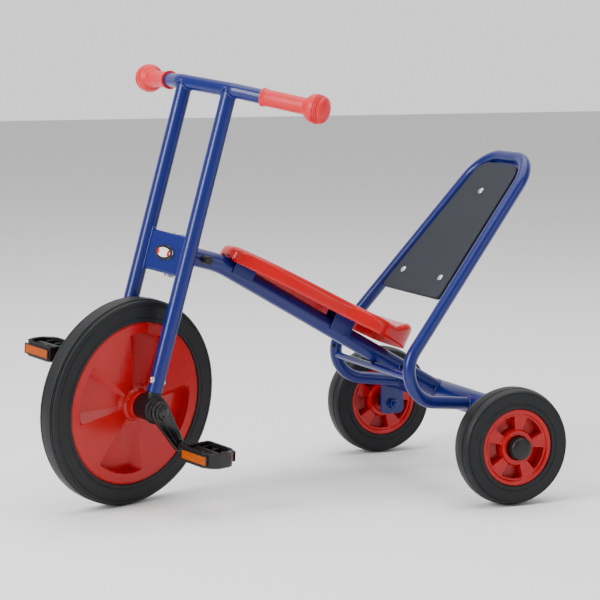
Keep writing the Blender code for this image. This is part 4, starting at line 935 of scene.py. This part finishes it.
def resampled(outline, step):
    """The closed outline with points at even steps along it."""
    loop = [Vector(p) for p in outline]
    lengths = [(loop[(k + 1) % len(loop)] - p).length for k, p in enumerate(loop)]
    total = sum(lengths)
    count = round(total / step)
    found, walked, k = [], 0.0, 0
    for n in range(count):
        goal = total * n / count
        while walked + lengths[k] < goal:
            walked += lengths[k]
            k += 1
        found.append(loop[k].lerp(loop[(k + 1) % len(loop)], (goal - walked) / lengths[k]))
    return found


def cage_mesh():
    outer = resampled(cage_ring(), TOOTH_PITCH / 4)
    while len(outer) % 4:
        outer.pop()
    inner = inset_outline(outer, CAGE_WALL)
    points, rows = [], []
    levels = [(outer, -1, True), (outer, -0.62, False), (outer, 0.62, False), (outer, 1, True),
              (inner, 1, True), (inner, -1, True)]
    for outline, level, toothed in levels:
        row = []
        for k, p in enumerate(outline):
            high = PEDAL_HALF_HEIGHT * level
            if toothed and k % 4 in (2, 3):
                high -= math.copysign(TOOTH, level)
            row.append(len(points))
            points.append(Vector((p.x, p.y, high)))
        rows.append(row)
    faces = []
    for low, high in zip(rows, rows[1:] + rows[:1]):
        for k in range(len(low)):
            m = (k + 1) % len(low)
            faces.append((low[k], low[m], high[m], high[k]))
    return points, faces


def block(low, high):
    outline = [(low[0], low[1]), (high[0], low[1]), (high[0], high[1]), (low[0], high[1])]
    return prism(outline, low[2], high[2], lambda a, b, c: (a, b, c))


for side, sign in SIDES:
    body = f"pedal_{side}"
    pedal_place = place_from(joint_point(f"pedal_{side}_spin"), wheel_axis, steer_axis)
    pedal_place = pedal_place @ Matrix.Diagonal((sign, 1, 1, 1)) @ Matrix.Rotation(PEDAL_TILT, 4, "X")
    cage = add_piece(f"pedal_cage_{side}", *cage_mesh(), black_plastic, body, [f"pedal_{side}"],
                     "black_plastic", pedal_place)
    soften(cage, 0.0004, 2, 35)
    barrel = rounded_outline([(0.0056, PEDAL_INNER - 0.001), (0.0095, PEDAL_INNER - 0.001),
                              (0.0085, PEDAL_INNER + 0.05),
                              (0.0085, 0.1875), (0.0056, 0.1875)], [0.0004, 0.001, 0.002, 0.001, 0.0004], 3)
    add_piece(f"pedal_barrel_{side}", *spun(barrel, 36), black_plastic, body, slot_name="black_plastic",
              place=pedal_place)
    for number, x in enumerate((0.130, 0.152, 0.174), 1):
        for end, facing in (("front", -1), ("rear", 1)):
            low = (x - 0.0016, min(0.0075 * facing, 0.0255 * facing), -0.0085)
            high = (x + 0.0016, max(0.0075 * facing, 0.0255 * facing), 0.0085)
            rib = add_piece(f"pedal_rib_{side}_{end}_{number}", *block(low, high), black_plastic, body,
                            slot_name="black_plastic", place=pedal_place)
            soften(rib, 0.0005)
    middle = PEDAL_INNER + 0.0335
    for end, facing in (("front", -1), ("rear", 1)):
        front = PEDAL_HALF_DEPTH * facing
        low = (middle - 0.0287, min(front, front + 0.0020 * facing), -0.0071)
        high = (middle + 0.0287, max(front, front + 0.0020 * facing), 0.0071)
        plate = add_piece(f"reflector_{side}_{end}", *block(low, high), amber, body,
                          [f"pedal_reflector_{side}_{end}"], "amber_reflector", pedal_place)
        soften(plate, 0.0007, 3)
        frame_outline = rounded_outline([(-0.0312, -0.0094), (0.0312, -0.0094), (0.0312, 0.0094),
                                         (-0.0312, 0.0094)], [0.003] * 4, 5)
        window = rounded_outline([(-0.0289, -0.0073), (0.0289, -0.0073), (0.0289, 0.0073),
                                  (-0.0289, 0.0073)], [0.001] * 4, 5)
        ring_count = len(frame_outline)
        levels = [(frame_outline, 0), (frame_outline, 0.0020), (window, 0.0020), (window, 0)]
        points = [Vector((middle + a, front + depth * facing, b)) for outline, depth in levels
                  for a, b in outline]
        faces = []
        for low_ring, high_ring in ((0, 1), (1, 2), (2, 3), (3, 0)):
            for k in range(ring_count):
                m = (k + 1) % ring_count
                faces.append((low_ring * ring_count + k, low_ring * ring_count + m,
                              high_ring * ring_count + m, high_ring * ring_count + k))
        frame_piece = add_piece(f"reflector_frame_{side}_{end}", points, faces, black_plastic, body,
                                slot_name="black_plastic", place=pedal_place)
        soften(frame_piece, 0.0005)
    outer_end = PEDAL_INNER + PEDAL_LENGTH
    # Painted shade: the two end slots are not cut; a thin matt black block at each stands for their shaded
    # inside.
    for number, y in enumerate((-0.0085, 0.0085), 1):
        slot_shade_block = block((outer_end - 0.0012, y - 0.0045, -0.0060),
                         (outer_end + 0.0002, y + 0.0045, 0.0060))
        shade_patch = add_piece(f"pedal_slot_shade_{side}_{number}", *slot_shade_block, black_rubber, body,
                         slot_name="black_plastic", place=pedal_place)
        soften(shade_patch, 0.0005)


# Rear wheels: solid tyres on red moulded discs with five pockets and a raised hub ring. They turn on
# plastic bushes around the axle bolts, and a black dome is pressed over each outer end.
HALF = 0.022
SPOKE_FACE, HUB_FACE = HALF - 0.0035, HALF + 0.0016
rings = [(0.0088, HALF - 0.002, 0), (0.0195, HALF - 0.002, 0), (0.0215, HUB_FACE, 0), (0.0285, HUB_FACE, 0)]
rings += [(0.0305, SPOKE_FACE, 0), (0.0318, SPOKE_FACE, 0.014), (0.0400, SPOKE_FACE, 0.016)]
rings += [(0.0520, SPOKE_FACE, 0.016), (0.0532, SPOKE_FACE, 0), (0.0560, SPOKE_FACE, 0),
          (0.0580, HALF - 0.0008, 0)]
rings += [(0.0600, HALF, 0), (0.0640, HALF, 0), (0.0652, HALF - 0.0012, 0)]
REAR_RADIUS, REAR_CROWN, REAR_HALF, REAR_RIM = 0.100, 0.0123, 0.0241, 0.065
tyre = tyre_profile(REAR_RADIUS, REAR_CROWN, REAR_HALF, REAR_RIM, (0.85,), (0.0925, 0.0735))
cap_profile = [(0, 0.0205), (0.0192, 0.0205), (0.0192, 0.0345), (0.0186, 0.0368), (0.0170, 0.0388),
               (0.0140, 0.0400)]
cap_profile += [(0.0090, 0.0407), (0.0, 0.0409)]
for side, sign in SIDES:
    body = f"rear_wheel_{side}"
    centre = Matrix.Translation(joint_point(f"rear_wheel_{side}_spin"))
    mirror = centre @ Matrix.Diagonal((sign, 1, 1, 1))
    add_piece(f"rear_tyre_ring_{side}", *spun(tyre, 144), tyre_rubber, body, [f"rear_tyre_{side}"],
              "tyre_rubber", centre, sharp=math.radians(45))
    wheel_disc(f"rear_wheel_disc_{side}", rings, 240, 5, math.radians(45.5), 22.5, 3, f"rear_rim_{side}",
               body, mirror)
    add_piece(f"hub_dome_{side}", *spun(cap_profile, 64), black_plastic, body, [f"rear_hub_cap_{side}"],
              "black_plastic", mirror)
    refined(f"rear_wheel_bush_{side}", black_plastic, 0.0005, "black_plastic")
    refined(f"rear_axle_bolt_{side}", blue_paint, 0.0006, "zinc_steel")
    low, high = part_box(f"rear_axle_bolt_{side}")
    inner_end = min(abs(low.x), abs(high.x))
    bolt_place = Matrix.Translation((0, rear_axle.y, rear_axle.z)) @ Matrix.Diagonal((sign, 1, 1, 1))
    nut = spun([(0, inner_end - 0.0010), (0.0092, inner_end - 0.0010), (0.0098, inner_end),
                (0.0098, inner_end + 0.0050), (0, inner_end + 0.0050)], 6)
    soften(add_piece(f"axle_nut_{side}", *nut, blue_paint, "root", slot_name="zinc_steel",
                     place=bolt_place), 0.0008)
    thread = spun(rounded_outline([(0, inner_end - 0.0075), (0.0048, inner_end - 0.0075),
                                   (0.0048, inner_end + 0.001),
                                   (0, inner_end + 0.001)], [0, 0.0008, 0, 0]), 24)
    add_piece(f"axle_bolt_end_{side}", *thread, blue_paint, "root", slot_name="zinc_steel",
              place=bolt_place)


# Studio: a plain pale floor, a white backdrop behind the tricycle, a dimmer room in front of it, soft
# light from a tall window at its front, a large ceiling panel and a weak fill.
pale = bpy.data.materials.new("studio_floor")
pale.use_nodes = True
pale.node_tree.nodes["Principled BSDF"].inputs["Base Color"].default_value = (0.94, 0.94, 0.94, 1)
pale.node_tree.nodes["Principled BSDF"].inputs["Roughness"].default_value = 0.9
reach = 12.0
floor_mesh = bpy.data.meshes.new("studio_floor")
corners = [(-reach, -reach, 0), (reach, -reach, 0), (reach, reach, 0), (-reach, reach, 0)]
floor_mesh.from_pydata(corners, [], [(0, 1, 2, 3)])
floor_mesh.materials.append(pale)
floor = bpy.data.objects.new("studio_floor", floor_mesh)
bpy.context.scene.collection.objects.link(floor)

world = bpy.data.worlds.new("studio")
world.use_nodes = True
background = world.node_tree.nodes["Background"]
background.inputs["Color"].default_value = (1, 1, 1, 1)
direction = world.node_tree.nodes.new("ShaderNodeTexCoord")
toward = world.node_tree.nodes.new("ShaderNodeVectorMath")
toward.operation = "DOT_PRODUCT"
toward.inputs[1].default_value = (-0.91, 0.41, 0)
sky = world.node_tree.nodes.new("ShaderNodeMapRange")
sky.interpolation_type = "SMOOTHSTEP"
sky.inputs["From Min"].default_value = 0.1
sky.inputs["From Max"].default_value = 0.8
sky.inputs["To Min"].default_value = 0.48
sky.inputs["To Max"].default_value = 1.2
world.node_tree.links.new(direction.outputs["Generated"], toward.inputs[0])
world.node_tree.links.new(toward.outputs["Value"], sky.inputs["Value"])
world.node_tree.links.new(sky.outputs["Result"], background.inputs["Strength"])
bpy.context.scene.world = world

target = Vector((-0.001, rear_axle.y - 0.277, 0.330))


def area_light(name, place, size, height, energy):
    data = bpy.data.lights.new(name, "AREA")
    data.shape = "RECTANGLE"
    data.size, data.size_y = size, height
    data.energy = energy
    light = bpy.data.objects.new(name, data)
    bpy.context.scene.collection.objects.link(light)
    light.location = target + Vector(place)
    light.rotation_euler = (-Vector(place)).to_track_quat("-Z", "Y").to_euler()


area_light("window", (0.7, -2.9, 1.5), 1.1, 2.2, 115)
area_light("ceiling", (0.0, 0.3, 3.2), 4.0, 4.0, 150)
area_light("fill", (2.6, 1.6, 0.9), 1.0, 1.8, 12)

camera_data = bpy.data.cameras.new("camera")
camera_data.sensor_width = 36
camera_data.lens = 135.6
camera = bpy.data.objects.new("camera", camera_data)
bpy.context.scene.collection.objects.link(camera)
AZIMUTH, ELEVATION, ROLL, DISTANCE = math.radians(65.31), math.radians(7.449), math.radians(0.33), 3.883
level = Vector((math.sin(AZIMUTH), -math.cos(AZIMUTH), 0))
away = level * math.cos(ELEVATION) + Vector((0, 0, math.sin(ELEVATION)))
right = Vector((math.cos(AZIMUTH), math.sin(AZIMUTH), 0))
up = away.cross(right)
right_rolled = right * math.cos(ROLL) + up * math.sin(ROLL)
up_rolled = up * math.cos(ROLL) - right * math.sin(ROLL)
turn = Matrix((right_rolled, up_rolled, away)).transposed().to_4x4()
camera.matrix_world = Matrix.Translation(target + away * DISTANCE) @ turn
bpy.context.scene.camera = camera
